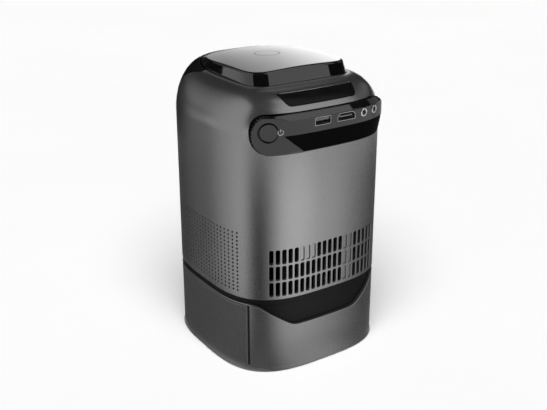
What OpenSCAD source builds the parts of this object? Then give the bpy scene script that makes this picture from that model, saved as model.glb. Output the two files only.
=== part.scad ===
// Tower video projector: a rounded-square housing on a speaker base, with a rear port panel,
// exhaust slots, perforated sides, a domed gloss cover and a focusing lens at the front.
// Millimetres, +Z up, the lens looks along -Y, the port panel faces +Y.

/* [Body] */
// Width and depth of the housing across its flats
body_w = 128; // [126:0.5:130]
// Squareness of the plan: 2 is a circle, larger is squarer
plan_power = 3.24; // [3.1:0.02:3.4]
// Thickness of the moulded walls
wall = 2.4; // [2.2:0.1:2.6]
// Height of the rubber feet
foot_h = 2; // [1.6:0.1:2.4]
// Top edge of the speaker base
base_top = 53; // [52.5:0.1:53.5]
// Height of the black gap at the waist
waist_h = 4.2; // [3.6:0.1:4.6]
// Height at which the shoulder starts to curve in
shoulder_z = 173.2; // [172.6:0.2:174]
// Height of the rim around the top cover
rim_z = 201.6; // [201:0.2:202]

/* [Exhaust slots] */
// Columns of slots across the back
slot_columns = 20; // [18:2:20]
// Rows of slots
slot_rows = 3; // [2:1:3]
// Distance between slot columns
slot_pitch = 4.6; // [4.4:0.05:4.7]
// Distance between slot rows
slot_row_pitch = 12.1; // [11.5:0.1:12.5]
// Width of one slot
slot_w = 3; // [2.4:0.1:3.2]
// Height of one slot
slot_h = 10.6; // [9:0.1:10.8]
// Lower end of the bottom row
slot_z = 59.7; // [59.4:0.1:61]

/* [Side perforations] */
// Columns of holes on each side
hole_columns = 22; // [18:2:22]
// Rows of holes on each side
hole_rows = 16; // [8:1:16]
// Distance between hole columns
hole_pitch = 3.9; // [3.7:0.05:3.95]
// Distance between hole rows
hole_row_pitch = 2.87; // [2.6:0.01:2.9]
// Diameter of one hole
hole_d = 1.5; // [1.2:0.1:1.8]
// Height of the lowest row
hole_z = 62.3; // [61.5:0.1:63]

/* [Port panel] */
// Half length of the panel along the curve of the wall
panel_half = 58.2; // [57:0.2:59]
// Lower edge of the panel
panel_z0 = 162.5; // [162:0.1:163]
// Upper edge of the panel
panel_z1 = 188.6; // [188.2:0.1:189]
// Height of the crease where the lower face starts to lean back
crease_z = 175.1; // [174.5:0.1:175.5]
// Place of the power button along the curve
power_s = 46.5; // [46:0.1:47]
// Height of the power button
power_z = 178; // [177.5:0.1:178.5]
// Travel of the power button
power_travel = 0.8; // [0.5:0.1:0.8]

/* [Lens] */
// Height of the lens axis
lens_z = 154; // [153:0.2:155]
// Outer radius of the sliding barrel
barrel_r = 18; // [17.6:0.1:18]
// Teeth on the focus ring
ring_teeth = 60; // [60]
// Teeth on the focus pinion
pinion_teeth = 12; // [12]
// Gear module
gear_m = 0.8; // [0.8]

/* [Hidden] */
$fn = 64;

// Colours as the photograph shows them
shell_grey = [0.43, 0.43, 0.44];
gloss_black = [0.06, 0.06, 0.065];
satin_black = [0.09, 0.09, 0.095];
mesh_grey = [0.24, 0.24, 0.25];
steel = [0.72, 0.73, 0.75];
board_green = [0.10, 0.30, 0.20];

half = body_w / 2;
inside = half - wall;
waist_top = base_top + waist_h;
floor_z = foot_h;
plate_t = 2.4;
plate_top = floor_z + plate_t;
deck_t = 2.5;
deck_top = base_top + deck_t;
eps = 0.01;
over = 1;
back_cut = 20;

// Plan of the housing: phi runs from the back towards +X
function plan_r(phi, p) = 1 / pow(pow(abs(sin(phi)), p) + pow(abs(cos(phi)), p), 1 / p);
function plan_pt(phi, a) = a * plan_r(phi, plan_power) * [sin(phi), cos(phi)];

// Arc length along one quarter of the plan, as pairs of length and angle
arc_step = 0.5;
arc_table = [
    for (phi = 0, s = 0; phi <= 90;
         s = s + norm(plan_pt(phi + arc_step, half) - plan_pt(phi, half)), phi = phi + arc_step)
        [s, phi]
];
quarter = arc_table[len(arc_table) - 1][0];
function phi_at(s) = lookup(abs(s), arc_table);
function plan_at(s) = let (p = plan_pt(phi_at(s), half)) [sign(s) * p[0], p[1]];

// Corners of the plan polygon: one flat per slot column at the back and per hole column at the side
corner_flats = 10;
slot_end = slot_columns / 2 * slot_pitch;
hole_end = quarter - hole_columns / 2 * hole_pitch;
quarter_s = concat(
    [for (i = [0 : slot_columns / 2]) i * slot_pitch],
    [for (i = [1 : corner_flats - 1]) slot_end + (hole_end - slot_end) * i / corner_flats],
    [for (i = [hole_columns / 2 : -1 : 0]) quarter - i * hole_pitch]
);
quarter_phi = [for (s = quarter_s) phi_at(s)];
last = len(quarter_phi) - 1;
ring_phi = concat(
    quarter_phi,
    [for (i = [last - 1 : -1 : 0]) 180 - quarter_phi[i]],
    [for (i = [1 : last]) 180 + quarter_phi[i]],
    [for (i = [last - 1 : -1 : 1]) 360 - quarter_phi[i]]
);
back_phi = [
    for (start = [270, 0], phi = ring_phi) if (phi >= start && phi <= start + 90) phi
];
front_phi = [for (phi = ring_phi) if (phi >= 90 && phi <= 270) phi];
function outline(a, phis = ring_phi) = [for (phi = phis) plan_pt(phi, a)];
module prism(a, z0, z1) {
    translate([0, 0, z0]) linear_extrude(z1 - z0) polygon(outline(a));
}
module ring_wall(outer, inner, z0, z1) {
    difference() {
        prism(outer, z0, z1);
        prism(inner, z0 - over, z1 + over);
    }
}

// Solid through a stack of rings that all have the same number of points, closed at both ends
// by a fan from the middle of the ring
module loft(rings) {
    n = len(rings[0]);
    m = len(rings);
    middles = [for (r = [rings[0], rings[m - 1]]) [for (p = r) 1] * r / n];
    sides = [
        for (k = [0 : m - 2], i = [0 : n - 1])
            let (j = (i + 1) % n, a = k * n + i, b = k * n + j)
                each [[a, b, b + n], [a, b + n, a + n]]
    ];
    ends = [
        for (i = [0 : n - 1])
            let (j = (i + 1) % n, top = (m - 1) * n)
                each [[j, i, m * n], [top + i, top + j, m * n + 1]]
    ];
    polyhedron(points = concat([for (r = rings) each r], middles), faces = concat(sides, ends));
}

// Closed outline with its own half width, front and back reach and squareness
function oval_pt(phi, ax, back, front, yc, p_back, p_front) =
    let (rear = cos(phi) >= 0, r = plan_r(phi, rear ? p_back : p_front))
        [ax * r * sin(phi), yc + (rear ? back : front) * r * cos(phi)];
function at_height(pts, z) = [for (p = pts) [p[0], p[1], z]];

// Shoulder: a quarter ellipse from the plan up to a rim that climbs towards the front,
// and inside the rim a level seat for the top cover
rim_ax = 41.7;
rim_back = 45.4;
rim_front = 47;
rim_yc = -8.9;
rim_p_back = 7;
rim_p_front = 3.4;
rim_rise = 6;
seat_z = rim_z - 4.1;
seat_taper = 0.8;
shoulder_steps = 6;
function rim_pt(phi, g) =
    oval_pt(phi, rim_ax - g, rim_back - g, rim_front - g, rim_yc, rim_p_back, rim_p_front);
function rim_height(phi) =
    let (reach = max(0, -cos(phi)) * plan_r(phi, rim_p_front)) rim_z + rim_rise * reach * reach;
function shoulder_ring(k, off, phis) =
    let (u = 90 * k / shoulder_steps, f = 1 - cos(u))
        [for (phi = phis)
            let (p = plan_pt(phi, half - off) * (1 - f) + rim_pt(phi, -off) * f,
                 top = off > 0 ? rim_z - off : rim_height(phi))
                [p[0], p[1], shoulder_z + (top - shoulder_z) * sin(u)]];
// The whole housing, its back half or its front half, set in by off from the outer face
module body_loft(off, z0, phis = ring_phi) {
    seat = at_height([for (phi = phis) rim_pt(phi, seat_taper - off)], seat_z - off);
    loft(concat([at_height(outline(half - off, phis), z0)],
                [for (k = [0 : shoulder_steps]) shoulder_ring(k, off, phis)], [seat]));
}

// Turns its children to a flat of the back wall, with local +Y pointing out of the wall
module at_back(s, step) {
    a = plan_at(s - step / 2);
    b = plan_at(s + step / 2);
    mid = (a + b) / 2;
    translate([mid[0], mid[1], 0]) rotate([0, 0, atan2(b[1] - a[1], b[0] - a[0])]) children();
}
// Stands a flat outline up in the XZ plane and gives it depth from y0 to y1
module upright(y0, y1) {
    translate([0, y1, 0]) rotate([90, 0, 0]) linear_extrude(y1 - y0) children();
}
function rounded_rect(w, h, r) = [
    for (c = [0 : 3], i = [0 : 3])
        let (a = 90 * c + 30 * i, sx = c == 0 || c == 3 ? 1 : -1, sy = c < 2 ? 1 : -1)
            [sx * (w / 2 - r) + r * cos(a), sy * (h / 2 - r) + r * sin(a)]
];
module block(x0, x1, y0, y1, z0, z1) {
    translate([x0, y0, z0]) cube([x1 - x0, y1 - y0, z1 - z0]);
}
// Cylinder along Y
module rod_y(x, z, r, y0, y1) {
    translate([x, y0, z]) rotate([-90, 0, 0]) cylinder(r = r, h = y1 - y0);
}
// Cylinder along X
module rod_x(y, z, r, x0, x1) {
    translate([x0, y, z]) rotate([0, 90, 0]) cylinder(r = r, h = x1 - x0);
}
module rod_z(x, y, r, z0, z1) {
    translate([x, y, z0]) cylinder(r = r, h = z1 - z0);
}
module four_corners(x, y) {
    for (sx = [0, 1], sy = [0, 1]) mirror([sx, 0, 0]) mirror([0, sy, 0]) translate([x, y, 0]) children();
}

// Fasteners
corner_post = 43.8;
post_r = 5.5;
post_bore_r = 3.3;
post_seat_z = base_top - 4;
boss_r = 4.5;
boss_h = 15;
screw_r = 1.45;
screw_hole_r = 1.5;
screw_head_r = 2.7;
screw_head_h = 1.6;
plate_screw_x = 22;
plate_screw_y = 54;
plate_boss_r = 4;
plate_boss_h = 16;
hole_end_t = 3;
screw_clear = 0.1;
web_t = 2;

// Slots that are only shallow grooves: some of the top row, and two whole columns
function slot_blind(col, row) = (row == slot_rows - 1 && col >= 5 && col <= 7) || col == 13 || col == 14;
groove_depth = 0.8;
slot_corner_r = 0.7;
module slot_cut(col, row) {
    depth = slot_blind(col, row) ? groove_depth : wall + over;
    at_back(((slot_columns - 1) / 2 - col) * slot_pitch, slot_pitch)
        translate([0, 0, slot_z + slot_h / 2 + row * slot_row_pitch])
            upright(-depth, over) polygon(rounded_rect(slot_w, slot_h, slot_corner_r));
}
module side_holes() {
    for (turn = [-90, 90]) rotate([0, 0, turn])
        for (col = [0 : hole_columns - 1]) at_back((col - (hole_columns - 1) / 2) * hole_pitch, hole_pitch)
            for (row = [0 : hole_rows - 1])
                rod_y(0, hole_z + row * hole_row_pitch, hole_d / 2, -wall - over, over, $fn = 16);
}

// Space of the front cover: straight sides and round lower corners as seen from the front,
// and as seen from the side an elliptic sweep over the shoulder, up to the rim
front_half = 53;
front_z0 = 126;
front_corner_r = 16;
front_depth = 44;
sweep_y = 18;
sweep_z = 15.3;
sweep_drop = 0.3;
front_gap = 0.15;
above = rim_z + 12;
outside = half + 6;
function front_outline(g) =
    let (w = front_half - g, r = front_corner_r, z0 = front_z0)
        concat([[w, above]], [for (i = [0 : 6]) [w - r + r * cos(15 * i), z0 + r - r * sin(15 * i)]],
               [for (i = [0 : 6]) [-w + r - r * sin(15 * i), z0 + r - r * cos(15 * i)]], [[-w, above]]);
function front_profile() =
    let (yc = sweep_y - front_depth, zc = rim_z - sweep_drop - sweep_z)
        concat([[-outside, 0], [-front_depth, 0]],
               [for (i = [6 : -1 : 0]) [yc - sweep_y * sin(15 * i), zc + sweep_z * cos(15 * i)]],
               [[yc, above], [-outside, above]]);
module front_space(g) {
    intersection() {
        upright(-outside, 0) polygon(front_outline(g));
        translate([-half, 0, 0]) rotate([90, 0, 90]) linear_extrude(body_w) polygon(front_profile());
    }
}

// Outline of the dark inset on the back of the shoulder, narrower below and with round lower corners
window_z0 = 192.2;
window_z1 = 198.6;
window_low = 27.5;
window_high = 30.8;
window_r = 4;
window_floor = 1.5;
window_set = 0.3;
window_y0 = rim_yc + rim_back + over;
inset_gap = 0.1;
window_lean = atan2(window_z1 - window_z0, window_high - window_low);
function window_half(g, i) =
    let (a = -90 + window_lean * i / 4, r = window_r + g)
        [window_low - window_r * tan(window_lean / 2) + r * cos(a), window_z0 + window_r + r * sin(a)];
function window_outline(g) = concat(
    [for (i = [0 : 4]) window_half(g, i)], [[window_high + g, window_z1 + g]],
    [[-window_high - g, window_z1 + g]], [for (i = [4 : -1 : 0]) let (p = window_half(g, i)) [-p[0], p[1]]]
);

// Outline of the port panel: a stadium laid along the curve of the wall
panel_mid_z = (panel_z0 + panel_z1) / 2;
panel_end_r = (panel_z1 - panel_z0) / 2;
function panel_outline(g) =
    let (r = panel_end_r - g, s0 = panel_half - panel_end_r)
        concat([for (i = [-6 : 6]) [plan_at(s0 + r * cos(15 * i))[0], panel_mid_z + r * sin(15 * i)]],
               [for (i = [6 : 18]) [plan_at(-s0 + r * cos(15 * i))[0], panel_mid_z + r * sin(15 * i)]]);
panel_seat = 1;
panel_window_half = 47.5;
panel_window_z0 = panel_z0 + 5;
panel_window_z1 = panel_z1 - 3;

// Dome of the top cover, and the boss on the seat that carries the touch board
dome_r = 450;
dome_top = 212.2;
dome_y = 5.4;
button_y = -11.8;
roof_z = dome_top - 4;
board_seat_z = roof_z - 5;
touch_board_r = 16;
flex_hole_r = 8;

module upper_shell() {
    color(shell_grey) {
        difference() {
            union() {
                body_loft(0, waist_top);
                rod_z(0, button_y, touch_board_r, seat_z - over, board_seat_z);
            }
            body_loft(wall, waist_top - over);
            for (col = [0 : slot_columns - 1], row = [0 : slot_rows - 1]) slot_cut(col, row);
            side_holes();
            front_space(0);
            difference() {
                upright(window_y0, outside) polygon(window_outline(inset_gap));
                body_loft(window_floor, shoulder_z - over, back_phi);
            }
            difference() {
                upright(back_cut, outside) polygon(panel_outline(-inset_gap));
                body_loft(panel_seat, panel_z0 - over, back_phi);
            }
            block(-panel_window_half, panel_window_half, back_cut, outside, panel_window_z0, panel_window_z1);
            at_panel(power_s, power_z) rod_y(0, 0, guide_r + guide_gap, -2 * guide_depth, cut_out);
            rod_z(0, button_y, flex_hole_r, seat_z - wall - over, board_seat_z + over);
        }
        four_corners(corner_post, corner_post) difference() {
            rod_z(0, 0, boss_r, deck_top, deck_top + boss_h);
            rod_z(0, 0, screw_hole_r, deck_top - over, deck_top + boss_h - hole_end_t);
        }
        for (turn = [45 : 90 : 315]) rotate([0, 0, turn])
            block(corner_post * sqrt(2) + boss_r - over / 2, inside * plan_r(45, plan_power) + over,
                  -web_t / 2, web_t / 2, waist_top + web_t, deck_top + boss_h);
    }
}

// Chevron cut out of the back of the base
chevron_top = 55.4;
chevron_low = 26.8;
chevron_z = 35.2;
chevron_r = 4;
chevron_side = 0.55 * chevron_r;
chevron_dip = 0.15 * chevron_r;
function chevron_outline() =
    let (xt = plan_at(chevron_top)[0], xl = plan_at(chevron_low)[0])
        [[xt, base_top + over], [xt, base_top], [xl + chevron_r, chevron_z + chevron_side],
         [xl, chevron_z + chevron_dip], [xl - chevron_r, chevron_z],
         [-xl + chevron_r, chevron_z], [-xl, chevron_z + chevron_dip],
         [-xl - chevron_r, chevron_z + chevron_side], [-xt, base_top], [-xt, base_top + over]];

// Speaker grille recess on each side of the base
grille_half = 46.6;
grille_groove = 1.2;
grille_z0 = 5;
grille_z1 = 50;
grille_t = 1.2;
sound_half = 40;
sound_z0 = 9;
sound_z1 = 45;
lip = 0.7;
lip_h = 1.4;
ledge_a = half - 6;
ledge_t = 2;

module base_shell() {
    color(shell_grey) {
        difference() {
            union() {
                prism(half, floor_z, base_top);
                prism(half + lip, floor_z, floor_z + lip_h);
            }
            prism(ledge_a, floor_z - over, base_top + over);
            prism(inside, floor_z - over, plate_top);
            prism(inside, plate_top + ledge_t, base_top + over);
            upright(back_cut, outside) polygon(chevron_outline());
            for (side = [-1, 1]) difference() {
                block(side * half - back_cut, side * half + back_cut, -grille_half, grille_half,
                      grille_z0, grille_z1);
                prism(half - grille_t, 0, base_top + over);
            }
            for (side = [-1, 1])
                block(side * half - back_cut, side * half + back_cut, -sound_half, sound_half,
                      sound_z0, sound_z1);
        }
        four_corners(corner_post, corner_post) difference() {
            rod_z(0, 0, post_r, plate_top, base_top);
            rod_z(0, 0, post_bore_r, plate_top - over, post_seat_z);
            rod_z(0, 0, screw_hole_r, post_seat_z - over, base_top + over);
        }
        four_corners(plate_screw_x, plate_screw_y) difference() {
            union() {
                rod_z(0, 0, plate_boss_r, plate_top, plate_top + plate_boss_h);
                block(-web_t / 2, web_t / 2, plate_boss_r - over, inside - plate_screw_y,
                      plate_top, plate_top + plate_boss_h);
            }
            rod_z(0, 0, screw_hole_r, plate_top - over, plate_top + plate_boss_h - hole_end_t);
        }
    }
}

band_set = 1.4;
band_inner = half - 5.4;
tongue_gap = 0.1;
tongue_t = 2;
upper_tongue_h = 1.6;
lower_tongue_z = base_top - 7;
skirt_z = 33;
skirt_y = 38;
cable_hole_r = 7;
cable_hole_y = -48;

module mid_frame() {
    tongue = inside - tongue_gap;
    color(satin_black) difference() {
        union() {
            prism(half - band_set, base_top, deck_top);
            ring_wall(half - band_set, band_inner, deck_top, waist_top);
            ring_wall(tongue, tongue - tongue_t, waist_top, waist_top + upper_tongue_h);
            ring_wall(tongue, tongue - tongue_t, lower_tongue_z, base_top);
            intersection() {
                ring_wall(tongue, tongue - tongue_t, skirt_z, base_top);
                block(-half, half, skirt_y, half, skirt_z, base_top);
            }
        }
        four_corners(corner_post, corner_post)
            rod_z(0, 0, screw_hole_r + screw_clear, base_top - over, deck_top + over);
        rod_z(0, cable_hole_y, cable_hole_r, base_top - over, deck_top + over);
    }
}

// Domed gloss cover on top: its wall stands in the seat, passes the rim and leans in to the top edge
cover_gap = 0.3;
cover_ax = 40.9;
cover_back = 42.4;
cover_front = 42;
cover_p_back = 6;
cover_p_front = 2.8;
cover_wall = 3;
cover_wall_top = dome_top + 2;
cover_roof = 4;
button_r = 9;
button_gap = 0.15;
pocket_r = 17;
button_flange_r = 11;
button_flange_t = 1.2;
touch_board_t = 1.2;
switch_half = 3;
switch_h = 1.2;
plunger_r = 1.5;
plunger_h = 0.6;

function cover_edge_pt(phi, g) =
    oval_pt(phi, cover_ax - g, cover_back - g, cover_front - g, rim_yc, cover_p_back, cover_p_front);
function dome_height(p) =
    dome_top - dome_r + sqrt(dome_r * dome_r - p[0] * p[0] - pow(p[1] - dome_y, 2));
// Point of the cover's wall where the line from the rim to the top edge reaches its upper end
function cover_wall_pt(phi) =
    let (low = rim_pt(phi, cover_gap), edge = cover_edge_pt(phi, 0), z = rim_height(phi))
        low + (edge - low) * (cover_wall_top - z) / (dome_height(edge) - z);
module dome() {
    translate([0, dome_y, dome_top - dome_r]) sphere(r = dome_r, $fn = 360);
}
module top_cover() {
    rim = [for (phi = ring_phi) let (p = rim_pt(phi, cover_gap)) [p[0], p[1], rim_height(phi)]];
    color(gloss_black) difference() {
        intersection() {
            loft([at_height([for (phi = ring_phi) rim_pt(phi, seat_taper + cover_gap)], seat_z), rim,
                  at_height([for (phi = ring_phi) cover_wall_pt(phi)], cover_wall_top)]);
            dome();
        }
        translate([0, 0, seat_z - over]) linear_extrude(roof_z - cover_roof - seat_z + 2 * over)
            polygon([for (phi = ring_phi) cover_edge_pt(phi, cover_wall)]);
        rod_z(0, button_y, pocket_r, seat_z - over, roof_z);
        rod_z(0, button_y, button_r + button_gap, seat_z - over, dome_top + over);
    }
}
module top_button() {
    color(gloss_black) {
        intersection() {
            rod_z(0, button_y, button_r, roof_z - button_flange_t, dome_top + over);
            dome();
        }
        rod_z(0, button_y, button_flange_r, roof_z - button_flange_t, roof_z);
    }
}
module touch_board() {
    top = board_seat_z + touch_board_t;
    color(board_green) {
        rod_z(0, button_y, touch_board_r, board_seat_z, top);
        block(-switch_half, switch_half, button_y - switch_half, button_y + switch_half, top, top + switch_h);
        rod_z(0, button_y, plunger_r, top + switch_h - eps, top + switch_h + plunger_h);
    }
}

// Front cover that flows down from the top, with the lens opening
bezel_r = 24;
bezel_inner = 18.6;
bezel_front = -65.2;
bezel_back = -61;
bezel_gap = 0.1;
bezel_edge = 0.6;
bezel_lead_r = 3.2;
bezel_lead = 2.8;
module front_panel() {
    color(gloss_black) difference() {
        intersection() {
            difference() {
                body_loft(0, front_z0 - over, front_phi);
                body_loft(wall, front_z0 - 2 * over, front_phi);
            }
            front_space(front_gap);
        }
        rod_y(0, lens_z, bezel_r + bezel_gap, -outside, -front_depth);
    }
}
module lens_bezel() {
    depth = bezel_back - bezel_front;
    color(satin_black) translate([0, bezel_back, lens_z]) rotate([90, 0, 0]) rotate_extrude()
        polygon([[bezel_inner, 0], [bezel_r, 0], [bezel_r, depth - bezel_edge], [bezel_r - bezel_edge, depth],
                 [bezel_inner + bezel_lead_r, depth], [bezel_inner, depth - bezel_lead]]);
}

// Lens train: barrel, glass, fixed mount and the geared focus ring
fit_gap = 0.05;
barrel_bore = 15.5;
barrel_y0 = -60;
barrel_y1 = -26;
engine_face = -22;
mount_r = 21.5;
mount_y0 = -46;
ring_y0 = -44;
ring_y1 = -38;
pitch_r = gear_m * ring_teeth / 2;
pinion_pitch_r = gear_m * pinion_teeth / 2;
gear_slack = 0.12;
pinion_x = pitch_r + pinion_pitch_r + gear_slack;
motor_r = 5;
motor_y0 = -36;
shaft_r = 1;
shaft_in = 6;
shaft_end_gap = 0.3;
stop_in = 1.5;
stop_y0 = 10;
stop_y1 = 12;
mouth = 2;
mouth_flare = 1;
lens_gap = 0.05;
front_lens_y = [-57.2, -48];
front_lens_r = [34, 60];
rear_lens_y = [-35.4, -28];
rear_lens_r = [60, 30];
mount_flange_r = 23.5;
mount_flange_t = 3;
ring_stop_r = 23;
ring_stop_t = 2;

// Barrel with an inner stop ring between the two lenses and a flared mouth
module lens_barrel() {
    length = barrel_y1 - barrel_y0;
    color(satin_black) translate([0, barrel_y1, lens_z]) rotate([90, 0, 0]) rotate_extrude()
        polygon([[barrel_bore - stop_in, stop_y1], [barrel_bore, stop_y1], [barrel_bore, length - mouth],
                 [barrel_bore + mouth_flare, length], [barrel_r, length], [barrel_r, 0], [barrel_bore, 0],
                 [barrel_bore, stop_y0], [barrel_bore - stop_in, stop_y0]]);
}
// A lens with a curved front and back, trimmed to its edge radius
module lens_element(y, r) {
    color([0.55, 0.62, 0.72, 0.6]) intersection() {
        rod_y(0, lens_z, barrel_bore - lens_gap, y[0] - over, y[1] + over);
        translate([0, y[0] + r[0], lens_z]) sphere(r = r[0], $fn = 180);
        translate([0, y[1] - r[1], lens_z]) sphere(r = r[1], $fn = 180);
    }
}
module front_lens() {
    lens_element(front_lens_y, front_lens_r);
}
module rear_lens() {
    lens_element(rear_lens_y, rear_lens_r);
}
module lens_mount() {
    bore = barrel_r + fit_gap;
    stop = engine_face - ring_y1;
    length = engine_face - mount_y0;
    color(satin_black) translate([0, engine_face, lens_z]) rotate([90, 0, 0]) rotate_extrude()
        polygon([[bore, 0], [mount_flange_r, 0], [mount_flange_r, mount_flange_t], [mount_r, mount_flange_t],
                 [mount_r, stop - ring_stop_t], [ring_stop_r, stop - ring_stop_t], [ring_stop_r, stop],
                 [mount_r, stop], [mount_r, length], [bore, length]]);
}
// Spur gear outline with straight-sided teeth; the first tooth or gap points along +X.
// Heights are in gear modules, widths in shares of the tooth pitch
tooth_depth = 1.15;
tooth_height = 0.8;
root_half = 0.30;
tip_half = 0.12;
function gear_outline(teeth, tooth_first) =
    let (r = gear_m * teeth / 2, root = r - tooth_depth * gear_m, tip = r + tooth_height * gear_m,
         step = 360 / teeth, shift = tooth_first ? 0 : step / 2)
        [for (i = [0 : teeth - 1])
            each [for (q = [[-root_half, root], [-tip_half, tip], [tip_half, tip], [root_half, root]])
                let (a = step * (i + q[0]) + shift) q[1] * [cos(a), sin(a)]]];
module focus_ring() {
    color([0.16, 0.16, 0.17]) translate([0, ring_y1, lens_z]) rotate([90, 0, 0]) difference() {
        linear_extrude(ring_y1 - ring_y0) polygon(gear_outline(ring_teeth, true));
        translate([0, 0, -over]) cylinder(r = mount_r + fit_gap, h = ring_y1 - ring_y0 + 2 * over);
    }
}
module focus_pinion() {
    color([0.75, 0.72, 0.62]) {
        translate([pinion_x, ring_y1, lens_z]) rotate([90, 0, 0]) rotate([0, 0, 180])
            linear_extrude(ring_y1 - ring_y0) polygon(gear_outline(pinion_teeth, false));
        rod_y(pinion_x, lens_z, shaft_r, ring_y1, motor_y0 + shaft_in);
    }
}
module focus_motor() {
    color(steel) difference() {
        rod_y(pinion_x, lens_z, motor_r, motor_y0, engine_face);
        rod_y(pinion_x, lens_z, shaft_r + fit_gap, motor_y0 - over, motor_y0 + shaft_in + shaft_end_gap);
    }
}

// Light engine, its light source and the imaging board
tower_half = 20;
tower_y0 = -20;
tower_y1 = 2;
shelf_z = 96;
engine_half = 30;
engine_y1 = 14;
engine_z0 = 134;
engine_z1 = 174;
light_path_r = 16;
led_y1 = 8;
face_half = 38;
face_low = 6;
face_high = 4;
duct_half = 10;
duct_y0 = -10;
duct_floor = 6;
engine_wall = 4;
imager_half = 24;
imager_inset = 4;
imager_chip = [12, 3.4, 10];
led_half = 14;
led_low = 2;
led_h = 26;
board_t = 1.6;
module light_engine() {
    color([0.30, 0.31, 0.33]) difference() {
        union() {
            block(-tower_half, tower_half, tower_y0, tower_y1, shelf_z, engine_z0);
            block(-engine_half, engine_half, tower_y0, engine_y1, engine_z0, engine_z1);
            block(-face_half, face_half, engine_face, tower_y0, engine_z0 - face_low, engine_z1 + face_high);
        }
        rod_y(0, lens_z, light_path_r, engine_face - over, engine_y1 - engine_wall);
        block(-duct_half, duct_half, duct_y0, tower_y1 + over, shelf_z + duct_floor, lens_z);
    }
}
module imaging_board() {
    y = engine_y1 + board_t;
    color(board_green) {
        block(-imager_half, imager_half, engine_y1, y, engine_z0 + imager_inset, engine_z1 - imager_inset);
        block(-imager_chip[0], imager_chip[0], y, y + imager_chip[1], lens_z - imager_chip[2],
              lens_z + imager_chip[2]);
    }
}
module led_module() {
    z0 = shelf_z + led_low;
    color([0.80, 0.55, 0.30]) block(-led_half, led_half, tower_y1, led_y1, z0, z0 + led_h);
}

// Cooling: a finned heat sink against the light source, and an axial fan behind the slots
fan_size = 60;
fan_y0 = 38;
fan_y1 = 53;
fan_z = deck_top + fan_size / 2;
fan_open_r = 28.5;
stator_r = 11.5;
stator_y = 49;
pin_r = 1.5;
hub_r = 12;
hub_y0 = 39.5;
hub_y1 = 48.7;
blades = 7;
blade_r = 27.6;
blade_t = 1.4;
blade_lean = 38;
fin_t = 1.2;
fins = 15;
sink_base_t = 3.5;
fan_hole = 25;
fan_hole_r = 2.2;
pin_start = 1.6;
strut_half = 1.5;
strut_t = 2.5;
blade_half = 8;
hub_cap = 1.3;

module heat_sink() {
    pitch = (fan_size - fin_t) / (fins - 1);
    color([0.66, 0.67, 0.69]) {
        block(-fan_size / 2, fan_size / 2, led_y1, led_y1 + sink_base_t, deck_top, deck_top + fan_size);
        for (i = [0 : fins - 1])
            block(-fan_size / 2 + i * pitch, -fan_size / 2 + i * pitch + fin_t,
                  led_y1 + sink_base_t - eps, fan_y0, deck_top, deck_top + fan_size);
    }
}
module fan_frame() {
    color(satin_black) {
        difference() {
            block(-fan_size / 2, fan_size / 2, fan_y0, fan_y1, deck_top, deck_top + fan_size);
            rod_y(0, fan_z, fan_open_r, fan_y0 - over, fan_y1 + over);
            for (x = [-fan_hole, fan_hole], z = [-fan_hole, fan_hole])
                rod_y(x, fan_z + z, fan_hole_r, fan_y0 - over, fan_y1 + over);
        }
        rod_y(0, fan_z, stator_r, stator_y, fan_y1);
        rod_y(0, fan_z, pin_r, hub_y0 + pin_start, stator_y + over);
        for (turn = [0, 120, 240]) translate([0, 0, fan_z]) rotate([0, turn, 0])
            block(-strut_half, strut_half, fan_y1 - strut_t, fan_y1, stator_r - over, fan_open_r + over);
    }
}
module fan_impeller() {
    color([0.12, 0.12, 0.13]) difference() {
        union() {
            rod_y(0, fan_z, hub_r, hub_y0, hub_y1);
            for (i = [0 : blades - 1]) translate([0, 0, fan_z]) rotate([0, 360 * i / blades, 0])
                intersection() {
                    translate([0, (hub_y0 + hub_y1) / 2, 0]) rotate([0, 0, blade_lean])
                        block(-blade_half, blade_half, -blade_t / 2, blade_t / 2,
                              hub_r - 2 * over, blade_r + over);
                    rod_y(0, 0, blade_r, hub_y0, hub_y1);
                }
        }
        rod_y(0, fan_z, pin_r + fit_gap, hub_y0 + hub_cap, hub_y1 + over);
    }
}

// Chassis: two pierced side plates, a foot flange and a shelf for the light engine
side_in = 42;
side_out = 44;
side_half = 36;
board_z = 177.1;
flange_x = 26;
flange_y0 = 26;
sheet_t = 2;
foot_y1 = 4;
shelf_y0 = -24;
pierced_z = [[66, 88], [102, 166]];
pierced_half = 26;
module chassis() {
    color([0.60, 0.61, 0.63]) difference() {
        union() {
            for (s = [0, 1]) mirror([s, 0, 0]) {
                block(side_in, side_out, -side_half, side_half, deck_top, board_z);
                block(flange_x, side_out, flange_y0, side_half, board_z - sheet_t, board_z);
            }
            block(-side_out, side_out, -side_half, foot_y1, deck_top, deck_top + sheet_t);
            block(-side_out, side_out, shelf_y0, foot_y1, shelf_z - sheet_t, shelf_z);
        }
        for (z = pierced_z)
            block(-side_out - over, side_out + over, -pierced_half, pierced_half, z[0], z[1]);
    }
}
standoff_h = 2;
main_x = side_out + standoff_h;
main_half = 34;
main_z = [62, 150];
standoff_y = 31;
standoff_z = [64.5, 147];
standoff_r = 2.2;
chip_half = 12;
chip_z = [96, 120];
chip_h = 2;
header_y = [-24, 20];
header_z = [72, 130];
header_size = [3, 6];
module main_board() {
    top = main_x + board_t;
    color(board_green) {
        block(main_x, top, -main_half, main_half, main_z[0], main_z[1]);
        for (y = [-standoff_y, standoff_y], z = standoff_z) rod_x(y, z, standoff_r, side_out, main_x);
        block(top, top + chip_h, -chip_half, chip_half, chip_z[0], chip_z[1]);
        for (z = header_z) block(top, top + header_size[0], header_y[0], header_y[1], z, z + header_size[1]);
    }
}
io_x = [-46, 30];
io_y1 = 58;
io_corner = [-30, 49];
module io_board() {
    color(board_green) translate([0, 0, board_z]) linear_extrude(board_t)
        polygon([[io_x[0], flange_y0], [io_x[1], flange_y0], [io_x[1], io_y1], [io_corner[0], io_y1],
                 [io_x[0], io_corner[1]]]);
}

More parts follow.
